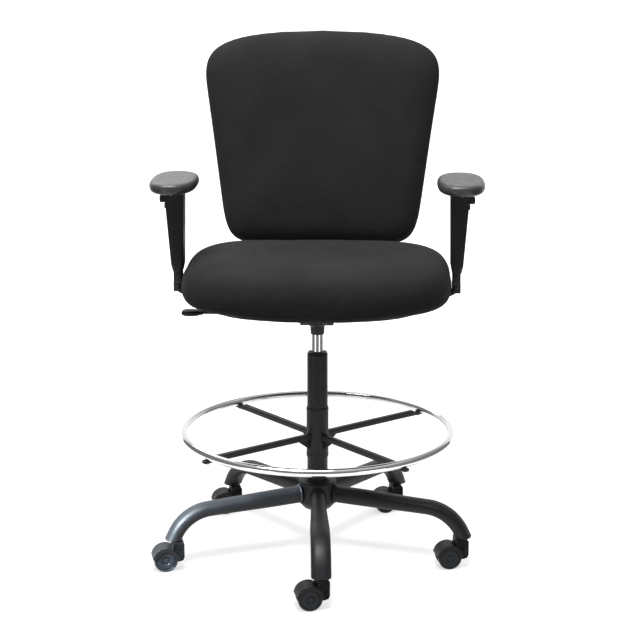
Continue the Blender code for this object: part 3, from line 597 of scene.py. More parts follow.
def base():
    lo, hi = low("base_hub"), high("base_hub")
    r = half_width("base_hub")
    bore = half_width("gas_lift_outer_tube") + GAP
    profile = [
        (bore, lo.z), (r - 0.013, lo.z), (r, lo.z + 0.015), (r, hi.z - 0.003),
        (r - 0.004, hi.z), (bore + 0.007, hi.z), (bore + 0.006, hi.z + 0.003),
        (bore, hi.z + 0.003),
    ]
    corners = [0.0, 0.008, 0.010, 0.002, 0.002, 0.001, 0.001, 0.0]
    hub = turned("hub", fillet(profile, corners, False, 6), sides=96)
    settle(hub, "base", "black_steel", "base_hub")
    for number in LEGS:
        base_leg(number)


# ---------------------------------------------------------------- casters
WHEEL_R = 0.0285
AXLE_DROP = 0.0322              # hood's outer radius round the axle
LIP_R = 0.0215                  # how far the hood's cheeks reach down the wheel faces


def arc(radius, start, end, count, centre_at=(0.0, 0.0)):
    points = []
    for i in range(count):
        a = math.radians(start + (end - start) * i / (count - 1))
        points.append((centre_at[0] + radius * math.cos(a), centre_at[1] + radius * math.sin(a)))
    return points


def caster_frame(number):
    """Centre of the wheels, and the directions towards the stem, up and along the axle."""
    roll = joint(f"caster_roll_{number}a")
    at = Vector(roll["pos_m"])
    axle = Vector(roll["axis"]).normalized()
    stem = Vector(joint(f"caster_swivel_{number}")["pos_m"])
    forward = Vector((stem.x - at.x, stem.y - at.y, 0.0)).normalized()
    return at, forward, axle, stem


def wheel(number, side, sign):
    at, _, axle, _ = caster_frame(number)
    node = f"caster_wheel_{number}{side}"
    inner, outer = 0.0079, 0.0229
    profile = [
        (0.0, outer - 0.0016), (0.0065, outer - 0.0016), (0.0078, outer - 0.0028),
        (0.0092, outer - 0.0028), (0.0105, outer - 0.0010), (0.0203, outer - 0.0002),
        (0.0214, outer - 0.0014), (0.0226, outer - 0.0014), (0.0236, outer - 0.0002),
        (0.0258, outer - 0.0002), (WHEEL_R, outer - 0.0028), (WHEEL_R, inner + 0.0020),
        (WHEEL_R - 0.0020, inner), (0.0043, inner),
    ]
    direction = axle * sign
    made = turned(node + "_disc", profile, at, direction, 72, 0.0011, 3)
    settle(made, f"wheel_{number}{side}", "wheel_nylon", node)


def hood(number):
    """Hood of a caster: a band over both wheels, cheeks down their faces, web and boss."""
    at, forward, axle, stem = caster_frame(number)
    node = f"caster_housing_{number}"
    top = high(node).z - at.z
    reach = (stem - at).dot(forward)
    skirt = reach + 0.0160
    width = 0.0244
    outer = [(skirt - 0.012, -0.0025), (skirt - 0.003, 0.0005), (skirt, 0.0080)]
    outer += [(skirt, top - 0.004), (skirt - 0.004, top), (0.0175, top)]
    outer += arc(AXLE_DROP, 60, 172, 22)
    band_inner = arc(0.0297, 172, -4, 26)
    band = slab(f"band_{number}", outer + band_inner, at, forward, UP, -width, width, 0.0009, 2)
    pieces = [band]
    cheek_inner = arc(LIP_R, 160, 12, 20)
    cheek = outer + [(-0.0300, 0.0044)] + cheek_inner + [(0.0222, -0.0025)]
    for sign in (-1.0, 1.0):
        spans = sorted((sign * 0.02325, sign * width))
        pieces.append(slab(
            f"cheek_{number}_{sign:.0f}", cheek, at, forward, UP, spans[0], spans[1], 0.0004, 2
        ))
    web = [(skirt - 0.013, -0.0015), (skirt - 0.001, 0.008), (skirt - 0.001, top - 0.001)]
    web += [(0.0165, top - 0.001)] + arc(0.0309, 62, 150, 10) + arc(0.0125, 175, 300, 10)
    pieces.append(slab(f"web_{number}", web, at, forward, UP, -0.0074, 0.0074, 0.0008, 2))
    boss = turned(
        f"boss_{number}",
        [(0.0062, at.z + top - 0.0002), (0.0080, at.z + top - 0.0002),
         (0.0080, at.z + top - 0.02), (0.0, at.z + top - 0.02)],
        (stem.x, stem.y, 0.0), sides=40,
    )
    pieces.append(boss)
    pin = pipe(f"axle_{number}", [at - axle * 0.0195, at + axle * 0.0195], 0.0040, 24)
    pieces.append(pin)
    settle(merge(f"hood_{number}", pieces), f"caster_{number}", "black_plastic", node)


def stem_piece(number):
    node = f"caster_stem_{number}"
    stem = Vector(joint(f"caster_swivel_{number}")["pos_m"])
    lo, hi = low(node).z, high(node).z
    flange = high(f"caster_housing_{number}").z + 0.0003
    profile = [
        (0.0, hi), (STEM_R, hi), (STEM_R, flange + 0.0022), (0.0085, flange + 0.0022),
        (0.0085, flange), (STEM_R, flange), (STEM_R, lo), (0.0, lo),
    ]
    made = turned(node + "_pin", profile, (stem.x, stem.y, 0.0), sides=40, radius=0.0004)
    settle(made, "base", "bright_steel", node)


def casters():
    for number in LEGS:
        hood(number)
        stem_piece(number)
        for side, sign in (("a", -1.0), ("b", 1.0)):
            wheel(number, side, sign)


# ---------------------------------------------------------------- gas lift
def gas_lift():
    tube_lo, tube_hi = low("gas_lift_outer_tube"), high("gas_lift_outer_tube")
    r = half_width("gas_lift_outer_tube")
    inside = r - 0.0025
    profile = [
        (0.0045, tube_lo.z), (r - 0.003, tube_lo.z), (r, tube_lo.z + 0.003),
        (r, tube_hi.z - 0.002), (r - 0.0015, tube_hi.z), (inside, tube_hi.z),
        (inside, tube_lo.z + 0.004), (0.0045, tube_lo.z + 0.004),
    ]
    outer = turned("lift_column", profile, sides=96, radius=0.0008, closed=True)
    settle(outer, "base", "black_steel", "gas_lift_outer_tube")

    bush_hi = high("gas_lift_guide_bush").z
    lift_r = half_width("gas_lift_inner_tube")
    bush_r = lift_r + GAP
    profile = [
        (bush_r, low("gas_lift_guide_bush").z), (inside - 0.0003, low("gas_lift_guide_bush").z),
        (inside - 0.0003, tube_hi.z + 0.0003), (r - 0.0012, tube_hi.z + 0.0003),
        (r - 0.0012, bush_hi - 0.001), (0.0205, bush_hi), (bush_r + 0.001, bush_hi),
        (bush_r, bush_hi - 0.001),
    ]
    bush = turned("lift_bush", profile, sides=80, radius=0.0006, closed=True)
    settle(bush, "base", "guide_plastic", "gas_lift_guide_bush")

    lo, hi = low("gas_lift_inner_tube").z, high("gas_lift_inner_tube").z
    bore = lift_r - 0.002
    profile = [
        (0.0043, lo), (lift_r - 0.001, lo), (lift_r, lo + 0.001), (lift_r, hi - 0.001),
        (lift_r - 0.001, hi), (0.0040, hi), (0.0040, hi - 0.020), (bore, hi - 0.020),
        (bore, lo + 0.018), (0.0043, lo + 0.018),
    ]
    inner = turned("lift_chrome_tube", profile, sides=80, closed=True)
    settle(inner, "carrier", "chrome", "gas_lift_inner_tube")


# ---------------------------------------------------------------- foot ring
SPOKE_WIDE = 0.014
SPOKE_Z = (0.294, 0.3075)
SPOKE_FIRST = 40.0
SPOKE_END = 0.306
TAB_END = 0.337
SLEEVE_R = 0.0272
SLEEVE_BORE = 0.0262


def foot_ring():
    lo, hi = low("footring_ring"), high("footring_ring")
    tube_r = (hi.z - lo.z) / 2
    ring_z = (hi.z + lo.z) / 2
    ring_r = (hi.x - lo.x) / 2 - tube_r
    section = [
        (ring_r + tube_r * math.cos(a), ring_z + tube_r * math.sin(a))
        for a in (2 * math.pi * k / 32 for k in range(32))
    ]
    ring = turned("chrome_foot_ring", section, sides=224, closed=True)
    settle(ring, "footring", "chrome", "footring_ring")

    spoke_low, spoke_top = SPOKE_Z
    sleeve_lo, sleeve_hi = low("footring_spider").z, high("footring_spider").z
    profile = [
        (SLEEVE_BORE, sleeve_lo), (SLEEVE_R, sleeve_lo), (SLEEVE_R, sleeve_lo + 0.005),
        (SLEEVE_R - 0.0004, sleeve_lo + 0.006), (SLEEVE_R - 0.0004, sleeve_hi - 0.006),
        (SLEEVE_R, sleeve_hi - 0.005), (SLEEVE_R, sleeve_hi), (SLEEVE_BORE, sleeve_hi),
    ]
    pieces = [turned("sleeve", profile, sides=80, radius=0.0003, closed=True)]
    root = SLEEVE_R - 0.0006
    tab_top = lo.z - 0.0003
    middle_z, half_tall = (spoke_top + spoke_low) / 2, (spoke_top - spoke_low) / 2
    outline = rounded_box(SPOKE_WIDE / 2, half_tall, 0.0022, 4)
    for k in range(4):
        turn = Matrix.Rotation(math.radians(SPOKE_FIRST + 90 * k), 3, "Z")
        along = turn @ Vector((1, 0, 0))
        across = turn @ Vector((0, 1, 0))
        rings = []
        for r, shrink in ((root, 1.0), (SPOKE_END - 0.0006, 1.0), (SPOKE_END, 0.92)):
            rings.append([
                along * r + across * u * shrink + UP * (middle_z + v * shrink) for u, v in outline
            ])
        pieces.append(loft(f"spoke_{k}", rings))
        tab_mid, tab_half = (spoke_low + tab_top) / 2, (tab_top - spoke_low) / 2
        tab_outline = rounded_box(0.0066, tab_half, 0.0010, 3)
        pieces.append(loft(f"tab_{k}", [
            [along * r + across * u * shrink + UP * (tab_mid + v * shrink) for u, v in tab_outline]
            for r, shrink in ((SPOKE_END - 0.004, 1.0), (TAB_END - 0.0008, 1.0), (TAB_END, 0.85))
        ]))
        web = [(root, spoke_low - 0.024), (0.031, spoke_low - 0.021), (0.062, spoke_low + 0.001),
               (root, spoke_low + 0.001)]
        web = fillet(web, [0.0, 0.004, 0.004, 0.0], True, 5)
        pieces.append(slab(f"web_{k}", web, (0, 0, 0), along, UP, -0.002, 0.002, 0.0006, 2))
        bead = [
            along * (SLEEVE_R + 0.0002) + across * u * 1.06 + UP * (middle_z + v * 1.06)
            for u, v in outline
        ]
        pieces.append(pipe(f"bead_{k}", bead + bead[:2], 0.0011, 8))
    clamp_z = centre("footring_knob").z
    pieces.append(pipe(
        "knob_boss", [(0, root, clamp_z), (0, 0.0352, clamp_z), (0, 0.036, clamp_z)],
        [0.010, 0.010, 0.0092], 40,
    ))
    settle(merge("foot_spider", pieces), "footring", "black_steel", "footring_spider")

    for k in range(4):
        turn = Matrix.Rotation(math.radians(SPOKE_FIRST + 90 * k), 3, "Z")
        at = turn @ Vector((ring_r, 0, 0))
        head = [(0.0, spoke_low - 0.0036), (0.0030, spoke_low - 0.0036),
                (0.0052, spoke_low - 0.0018), (0.0052, spoke_low + 0.0002), (0.0, spoke_low + 0.0002)]
        screw = turned(f"ring_screw_{k + 1}", head, (at.x, at.y, 0.0), sides=32, radius=0.0008)
        settle(screw, "footring", "bright_steel")


def foot_knob():
    """Lobed clamping knob behind the sleeve."""
    at = Vector((0.0, 0.0, centre("footring_knob").z))
    stations = [
        (0.0270, 0.0040, 0.0), (0.0360, 0.0040, 0.0), (0.0364, 0.0066, 0.0),
        (0.0400, 0.0080, 0.0), (0.0425, 0.0125, 0.4), (0.0450, 0.0168, 0.8),
        (0.0475, 0.0178, 1.0), (0.0600, 0.0178, 1.0), (0.0630, 0.0168, 0.9),
        (0.0648, 0.0140, 0.6), (0.0655, 0.0095, 0.2),
    ]
    rings = []
    for y, r, lobes in stations:
        ring = []
        for k in range(72):
            a = 2 * math.pi * k / 72
            wave = 1.0 - 0.055 * lobes * (1.0 + math.cos(6 * a)) / 2
            ring.append(at + Vector((r * wave * math.cos(a), y, r * wave * math.sin(a))))
        rings.append(ring)
    settle(loft("clamp_knob", rings, auto_angle=50.0), "footring_clamp", "black_plastic",
           "footring_knob")


def foot_liner():
    """Split plastic sleeve between the spider and the column, with a thin rim at each end, drawn here
    as a whole ring without the split.
    """
    lo, hi = low("footring_liner"), high("footring_liner")
    rim_r = half_width("footring_liner")
    groove = SLEEVE_BORE - GAP
    bore = half_width("gas_lift_outer_tube") + GAP
    rim = 0.0025
    profile = [
        (bore, lo.z), (rim_r, lo.z), (rim_r, lo.z + rim), (groove, lo.z + rim),
        (groove, hi.z - rim), (rim_r, hi.z - rim), (rim_r, hi.z), (bore, hi.z),
    ]
    liner = turned("ring_liner", profile, sides=80, radius=0.0002, closed=True)
    settle(liner, "footring_collar", "guide_plastic", "footring_liner")


# ---------------------------------------------------------------- tilt mechanism and lever
PIVOT = Vector(joint("seat_tilt")["pos_m"])
LEVER = Vector(joint("lever_lift")["pos_m"])
KNOB = Vector(joint("tension_knob_turn")["pos_m"])


def carve(obj, *cutters):
    """Cut closed helper meshes out of a piece and drop them."""
    for cutter in cutters:
        step = obj.modifiers.new("cut", "BOOLEAN")
        step.operation = "DIFFERENCE"
        step.solver = "EXACT"
        step.object = cutter
    apply_modifiers(obj)
    for cutter in cutters:
        bpy.data.objects.remove(cutter, do_unlink=True)
    return obj


def mechanism():
    """Pressed pan with a deep block round the column and its socket, cut through for the tilt pin,
    the knob and the lever.
    """
    lo, hi = low("tilt_mechanism_body"), high("tilt_mechanism_body")
    half = hi.x
    nose, block, wall = 0.6145, 0.5850, 0.003
    outline = [
        (lo.y, nose), (-0.051, nose), (-0.040, block), (hi.y, block), (hi.y, 0.6050),
        (-0.105, hi.z), (lo.y, hi.z),
    ]
    rounded = fillet(outline, [0.006, 0.008, 0.007, 0.006, 0.002, 0.004, 0.002], True, 5)
    pan = slab("pan", rounded, (0, 0, 0), (0, 1, 0), UP, -half, half, 0.0030, 4)
    apply_modifiers(pan)
    inner = [
        (lo.y + wall, nose + wall), (-0.051, nose + wall), (-0.040, block + wall),
        (hi.y - wall, block + wall), (hi.y - wall, hi.z + 0.02), (lo.y + wall, hi.z + 0.02),
    ]
    inner = fillet(inner, [0.004, 0.004, 0.004, 0.004, 0.0, 0.0], True, 4)
    hollow = slab("hollow", inner, (0, 0, 0), (0, 1, 0), UP, -half + wall, half - wall)
    lift_r = half_width("gas_lift_inner_tube") + 2 * GAP
    carve(
        pan, hollow,
        pipe("bore", [(0, 0, 0.55), (0, 0, 0.62)], lift_r, 48),
        pipe("pin_hole", [(-0.06, PIVOT.y, PIVOT.z), (0.06, PIVOT.y, PIVOT.z)], 0.0043, 32),
        pipe("knob_hole", [(KNOB.x, KNOB.y, 0.60), (KNOB.x, KNOB.y, 0.63)], 0.0046, 32),
        pipe("lever_hole", [(-0.06, 0, LEVER.z), (-0.02, 0, LEVER.z)], 0.0079, 36),
    )
    profile = [
        (lift_r, lo.z + 0.0002), (0.0165, lo.z), (0.0175, 0.5750), (0.0265, 0.5830),
        (0.0265, 0.5930), (lift_r, 0.5930),
    ]
    socket = turned("socket", profile, sides=64, radius=0.0012, closed=True)
    settle(merge("tilt_pan", [pan, socket]), "carrier", "black_steel", "tilt_mechanism_body")


def lever():
    at = Vector((0, 0, LEVER.z))
    bore = 0.0043
    profile = [
        (bore, 0.0345), (0.0075, 0.0345), (0.0075, 0.0407), (0.0105, 0.0407),
        (0.0105, 0.0437), (bore, 0.0437),
    ]
    bush = turned("lever_collar", profile, at, (-1, 0, 0), 48, 0.0006, 3, True)
    settle(bush, "lever_pivot", "guide_plastic", "lever_bush")

    paddle_lo, paddle_hi = low("height_lever_handle"), high("height_lever_handle")
    shaft = pipe(
        "lever_shaft",
        [(high("height_lever_rod").x - 0.001, 0, LEVER.z), (paddle_hi.x - 0.004, 0, LEVER.z)],
        0.0040, 28,
    )
    settle(shaft, "height_lever", "black_steel", "height_lever_rod")

    middle = (paddle_lo.z + paddle_hi.z) / 2
    half_tall = (paddle_hi.z - paddle_lo.z) / 2
    half_deep = (paddle_hi.y - paddle_lo.y) / 2
    length = paddle_hi.x - paddle_lo.x
    stations = (
        (0.000, 0.42, 0.30), (0.015, 0.55, 0.52), (0.060, 0.75, 0.74), (0.14, 0.90, 0.90),
        (0.26, 0.99, 1.00), (0.50, 1.00, 1.00), (0.70, 0.94, 0.90), (0.82, 0.80, 0.74),
        (0.92, 0.60, 0.60), (0.985, 0.50, 0.50), (1.0, 0.40, 0.40),
    )
    rings = []
    for t, wide, tall in stations:
        x = paddle_lo.x + length * t
        ring = []
        for k in range(40):
            u, v = superellipse(2 * math.pi * k / 40, 3.2)
            dip = 0.0010 * math.sin(math.pi * t) * (1 - u * u) if v > 0 else 0.0
            ring.append((x, u * half_deep * wide, middle + v * half_tall * tall - dip))
        rings.append(ring)
    settle(loft("lever_paddle", rings, auto_angle=60), "height_lever", "black_plastic",
           "height_lever_handle")


SPRING_WIRE = 0.0016
SPRING_TURNS = 3.5


def tension_knob():
    """Round knob under the front of the pan, with finger flutes round its rim."""
    lo, hi = low("tilt_tension_knob"), high("tilt_tension_knob")
    rim = half_width("tilt_tension_knob")
    stations = (
        (lo.z, rim - 0.009, 0.0), (lo.z + 0.0008, rim - 0.0050, 0.2),
        (lo.z + 0.0030, rim - 0.0012, 0.8), (lo.z + 0.0055, rim, 1.0), (0.6105, rim, 1.0),
        (0.6130, rim - 0.0012, 0.8), (0.6141, rim - 0.0040, 0.3), (0.6141, 0.0050, 0.0),
        (0.6141, 0.0042, 0.0), (hi.z, 0.0042, 0.0),
    )
    rings = []
    for z, r, flute in stations:
        ring = []
        for k in range(120):
            a = 2 * math.pi * k / 120
            wave = 1.0 - 0.045 * flute * max(0.0, math.cos(10 * a)) ** 3
            ring.append((KNOB.x + r * wave * math.cos(a), KNOB.y + r * wave * math.sin(a), z))
        rings.append(ring)
    settle(loft("tension_wheel", rings, auto_angle=45), "tension_adjuster", "black_plastic",
           "tilt_tension_knob")


def tension_spring():
    """Coil between the pan and the plate, built at rest: it is not pressed flat as the seat tilts
    back.
    """
    node = "tilt_tension_spring"
    lo, hi = low(node), high(node)
    middle = (lo + hi) / 2
    coil = (hi.x - lo.x) / 2 - SPRING_WIRE
    steps = 126
    points = []
    for i in range(steps + 1):
        t = i / steps
        angle = 2 * math.pi * SPRING_TURNS * t
        z = lo.z + SPRING_WIRE + (hi.z - lo.z - 2 * SPRING_WIRE) * smoothstep(t * 1.1 - 0.05)
        points.append((middle.x + coil * math.cos(angle), middle.y + coil * math.sin(angle), z))
    spring = pipe("tension_spring", points, SPRING_WIRE, 12)
    settle(spring, "seat_frame", "bright_steel", node)
    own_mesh(spring)


def bolt_head(name, at, axis, body, radius=0.0065, height=0.0045, slot="bright_steel"):
    """Button head; its hexagon socket is drawn as a round recess."""
    made = turned(
        name, [(0.0, height * 0.45), (radius * 0.42, height * 0.45), (radius * 0.46, height),
               (radius * 0.62, height), (radius * 0.94, height * 0.45), (radius, 0.0), (0.0, 0.0)],
        at, axis, 36,
    )
    return settle(made, body, slot)


# ---------------------------------------------------------------- cushions
def smoothstep(value):
    value = min(1.0, max(0.0, value))
    return value * value * (3 - 2 * value)


def surface_of(obj):
    """A search tree over a mesh as it stands now."""
    return BVHTree.FromPolygons(
        [v.co.copy() for v in obj.data.vertices], [tuple(p.vertices) for p in obj.data.polygons]
    )


CLOTH_STEPS = 20
START_SHARE = 0.985             # size of a cushion before it is blown up
MOULDED_SHARE = 0.85            # how far the foam pulls the cover back to its moulded shape


def fill_cloth(obj, middle, voxel, pressure, limit):
    """Blow a closed skin up from slightly small, like foam in its cover."""
    for v in obj.data.vertices:
        v.co = middle + (v.co - middle) * START_SHARE
    remesh = obj.modifiers.new("even", "REMESH")
    remesh.mode = "VOXEL"
    remesh.voxel_size = voxel
    smooth = obj.modifiers.new("smooth", "SMOOTH")
    smooth.factor = 0.5
    smooth.iterations = 6
    apply_modifiers(obj)
    before = [v.co.copy() for v in obj.data.vertices]
    cloth = obj.modifiers.new("cloth", "CLOTH")
    settings = cloth.settings
    settings.quality = 6
    settings.mass = 0.25
    settings.tension_stiffness = 18
    settings.compression_stiffness = 18
    settings.shear_stiffness = 8
    settings.bending_stiffness = 1.2
    settings.use_pressure = True
    settings.uniform_pressure_force = pressure
    settings.effector_weights.gravity = 0.0
    settings.air_damping = 2.0
    cloth.collision_settings.use_collision = False
    scene = bpy.context.scene
    for step in range(1, CLOTH_STEPS + 1):
        scene.frame_set(step)
    apply_modifiers(obj)
    for v, old in zip(obj.data.vertices, before):
        move = v.co - old
        if move.length > limit:
            v.co = old + move.normalized() * limit
    scene.frame_set(1)
    return obj


def hold_shape(obj, surface):
    """Foam pulls the cover back most of the way to its moulded shape."""
    for v in obj.data.vertices:
        nearest = surface.find_nearest(v.co)[0]
        v.co = v.co.lerp(nearest, MOULDED_SHARE)
    return obj


def smooth_line(points, count):
    """Catmull-Rom curve through 2D points, at even parameters."""
    out = []
    last = len(points) - 1
    for i in range(count + 1):
        t = i / count * last
        k = min(int(t), last - 1)
        f = t - k
        p = [Vector(points[min(max(k + j, 0), last)]) for j in (-1, 0, 1, 2)]
        out.append(tuple(0.5 * (
            2 * p[1] + (p[2] - p[0]) * f + (2 * p[0] - 5 * p[1] + 4 * p[2] - p[3]) * f * f
            + (3 * p[1] - p[0] - 3 * p[2] + p[3]) * f ** 3
        )))
    return out


def into_box(obj, low_corner, high_corner):
    """Stretch a piece a little so that its bounds are those given."""
    cos = [v.co for v in obj.data.vertices]
    least = [min(c[i] for c in cos) for i in range(3)]
    most = [max(c[i] for c in cos) for i in range(3)]
    for v in obj.data.vertices:
        v.co = Vector([
            low_corner[i]
            + (v.co[i] - least[i]) * (high_corner[i] - low_corner[i]) / (most[i] - least[i])
            for i in range(3)
        ])
    return obj


def finish_cushion(obj, body, slot, node):
    obj.data.shade_smooth()
    detail = obj.modifiers.new("detail", "SUBSURF")
    detail.levels = 1
    detail.render_levels = 1
    apply_modifiers(obj)
    obj.data.shade_smooth()
    settle(obj, body, slot, node)


SEAT_SECTIONS = (
    (0.20, 0.6422), (0.60, 0.6420), (0.86, 0.6421), (0.935, 0.6440), (0.972, 0.6510),
    (0.992, 0.6640), (1.0, 0.6850), (0.999, 0.6980), (0.986, 0.7160), (0.945, 0.7370),
    (0.865, 0.7520), (0.740, 0.7605), (0.560, 0.7650), (0.350, 0.7675), (0.06, 0.7680),
)
RIM_LIFT = 0.0085
STRIP_PATH = (
    (0.145, 0.6354), (0.262, 0.6354), (0.271, 0.6374), (0.298, 0.6615), (0.308, 0.6665),
    (0.3195, 0.6710), (0.327, 0.6760), (0.331, 0.6840),
)
STRIP_THICK = 0.007
STRIP_Y = (-0.0660, -0.0195)


def strip_top(x):
    """Top face of an arm's strip at a distance from the middle of the seat."""
    x = abs(x)
    for (x0, z0), (x1, z1) in zip(STRIP_PATH, STRIP_PATH[1:]):
        if x <= x1:
            return z0 + (z1 - z0) * max(0.0, x - x0) / (x1 - x0) + STRIP_THICK * 0.7
    return STRIP_PATH[-1][1]


def seat_cushion():
    lo, hi = low("seat_cushion"), high("seat_cushion")
    middle = (lo + hi) / 2
    half_x, half_y = (hi.x - lo.x) / 2, (hi.y - lo.y) / 2
    rings = []
    for scale, z in smooth_line(SEAT_SECTIONS, 110):
        ring = []
        for k in range(200):
            t = 2 * math.pi * k / 200
            u, v = superellipse(t, 2.7 if math.sin(t) < 0 else 4.5)
            x = middle.x + u * half_x * scale
            lift = smoothstep((abs(x) - 0.06) / 0.16) * smoothstep((scale - 0.80) / 0.12)
            lift *= RIM_LIFT * smoothstep((0.690 - z) / 0.040)
            ring.append((x, middle.y + v * half_y * scale, z + lift))
        rings.append(ring)
    made = loft("seat_pad", rings)
    moulded = surface_of(made)
    fill_cloth(made, middle, 0.005, 4.0, 0.012)
    hold_shape(made, moulded)
    into_box(made, lo, hi)
    for v in made.data.vertices:
        x, y = (v.co.x - middle.x) / half_x, (v.co.y - middle.y) / half_y
        rim = smoothstep((max(abs(x), abs(y)) - 0.30) / 0.5)
        rest = smoothstep((v.co.z - 0.735) / 0.02)
        soft = noise.noise(Vector((v.co.x * 6.0, v.co.y * 6.0, 3.1)))
        v.co.z += rest * (rim * 0.0016 * soft - 0.0008)
        inside = min(v.co.y - STRIP_Y[0], STRIP_Y[1] - v.co.y)
        clear = strip_top(v.co.x) + 0.0012 - v.co.z
        if clear > 0.0 and abs(v.co.x) > 0.14:
            v.co.z += clear * smoothstep((inside + 0.009) / 0.009)
    finish_cushion(made, "seat_frame", "black_fabric", "seat_cushion")


BACK_RAKE = 0.2125
BACK_FLARE = 0.1410
BACK_MID = 0.2745
BACK_ARCH = 0.034
BACK_FRONT = 0.190


def back_outline(scale, depth, count=200):
    """Outline of the back at one depth behind its raked front face."""
    lo, hi = low("back_cushion").z, high("back_cushion").z
    middle, half = (lo + hi) / 2, (hi - lo) / 2
    ring = []
    for k in range(count):
        t = 2 * math.pi * k / count
        upper = math.sin(t) > 0
        x, v = superellipse(t, 6.0 if upper else 9.0)
        rise = half * v * scale
        arch = BACK_ARCH * x * x * v * v * min(1.0, scale / 0.7) ** 2 if upper else 0.0
        z = middle + rise - arch
        ring.append((x * (BACK_MID + BACK_FLARE * rise) * scale,
                     BACK_FRONT + BACK_RAKE * (z - lo) + depth, z))
    return ring


BACK_SECTIONS = (
    (0.05, 0.0000), (0.35, 0.0004), (0.62, 0.0022), (0.82, 0.0075), (0.925, 0.0165),
    (0.978, 0.0290), (1.0, 0.0450), (0.996, 0.0600), (0.965, 0.0712), (0.80, 0.0720),
    (0.40, 0.0720), (0.05, 0.0720),
)


def back_cushion():
    lo, hi = low("back_cushion"), high("back_cushion")
    rings = [back_outline(scale, depth) for scale, depth in smooth_line(BACK_SECTIONS, 90)]
    made = loft("back_pad", rings)
    moulded = surface_of(made)
    fill_cloth(made, (lo + hi) / 2, 0.005, 4.0, 0.010)
    hold_shape(made, moulded)
    into_box(made, lo, hi)
    for v in made.data.vertices:
        depth = v.co.y - BACK_FRONT - BACK_RAKE * (v.co.z - lo.z)
        front = 1.0 - smoothstep((depth - 0.004) / 0.02)
        soft = noise.noise(Vector((v.co.x * 6.0, 9.2, v.co.z * 6.0)))
        v.co.y += front * 0.0012 * soft
    finish_cushion(made, "seat_frame", "black_fabric", "back_cushion")


# ---------------------------------------------------------------- back shell and upright
SHELL_SECTIONS = (
    (0.05, 0.0925), (0.690, 0.0925), (0.880, 0.0905), (0.934, 0.0800), (0.934, 0.0732),
    (0.947, 0.0732), (0.947, 0.0815), (0.943, 0.0850), (0.930, 0.0905), (0.900, 0.0955),
    (0.840, 0.0980), (0.780, 0.0985), (0.765, 0.0975), (0.750, 0.0975), (0.735, 0.0985),
    (0.40, 0.0985), (0.05, 0.0985),
)
SHELL_BACK = 0.0985


def back_shell():
    rings = [back_outline(scale, depth, 128) for scale, depth in SHELL_SECTIONS]
    made = loft("outer_shell", rings, auto_angle=38)
    settle(made, "seat_frame", "black_plastic", "back_shell")


def strip_outline(path, thickness):
    """Outline of a flat bar whose centre line runs along a 2D path."""
    left, right = [], []
    for i, point in enumerate(path):
        before, after = Vector(path[max(i - 1, 0)]), Vector(path[min(i + 1, len(path) - 1)])
        along = (after - before).normalized()
        across = Vector((-along.y, along.x)) * thickness / 2
        left.append(tuple(Vector(point) + across))
        right.append(tuple(Vector(point) - across))
    return left + right[::-1]


def back_upright():
    lo = low("back_bar")
    low_z = 0.6352
    lean = math.atan(BACK_RAKE)
    behind = BACK_FRONT + SHELL_BACK + 0.0045
    base_z = low("back_cushion").z
    top_z = 0.960
    radius = 0.050
    meet = behind + BACK_RAKE * (low_z - base_z)
    turn = math.pi / 2 - lean
    start = meet - radius * math.tan(turn / 2)
    path = [(0.070, low_z)]
    path += arc(radius, -90, -90 + math.degrees(turn), 24, (start, low_z + radius))
    path.append((behind + BACK_RAKE * (top_z - base_z), top_z))
    half_wide = half_width("back_bar")
    made = slab("upright", strip_outline(path, 0.008), (0, 0, 0), (0, 1, 0), UP,
                -half_wide, half_wide, 0.0020, 3)
    settle(made, "seat_frame", "black_steel", "back_bar")
    normal = Vector((0, math.cos(lean), -math.sin(lean)))
    for i, z in enumerate((0.800, 0.870, 0.935)):
        at = Vector((0, behind + 0.0040 + BACK_RAKE * (z - base_z), z))
        bolt_head(f"back_bolt_{i + 1}", at, normal, "seat_frame", 0.0080, 0.0050)
    for i, y in enumerate((0.088, 0.113)):
        for side, sign in SIDES:
            bolt_head(f"bar_bolt_{i + 1}_{side}", (sign * 0.016, y, lo.z), (0, 0, -1), "seat_frame")


# ---------------------------------------------------------------- arms
POST_X = (0.3215, 0.3405)
POCKET_X = (0.3490, 0.3900)
LEDGE_X = (0.3490, 0.3605)
HEAD_X = 0.3400
POST_Y = (-0.0475, -0.0025)
POST_Z = (0.6690, 0.8600)
HEAD_Z = (0.9032, 0.9097)
SLEEVE_SECTIONS = (
    (0.7150, 0.3203, 0.3419, 0.0249), (0.7162, 0.3198, 0.3425, 0.0255),
    (0.7330, 0.3165, 0.3465, 0.0270), (0.8060, 0.3152, 0.3520, 0.0286),
    (0.8800, 0.3140, 0.3575, 0.0300), (0.9034, 0.3138, 0.3585, 0.0310),
)


def block(name, half_x, half_y, radius, heights, at, edge=0.0008):
    """Upright rounded bar between two heights, with eased ends."""
    outline = rounded_box(half_x, half_y, radius, 5)
    rings = []
    for z, shrink in ((heights[0], edge), (heights[0] + edge, 0.0), (heights[1] - edge, 0.0),
                      (heights[1], edge)):
        rings.append([
            (at[0] + u * (half_x - shrink) / half_x, at[1] + v * (half_y - shrink) / half_y, z)
            for u, v in outline
        ])
    return loft(name, rings)


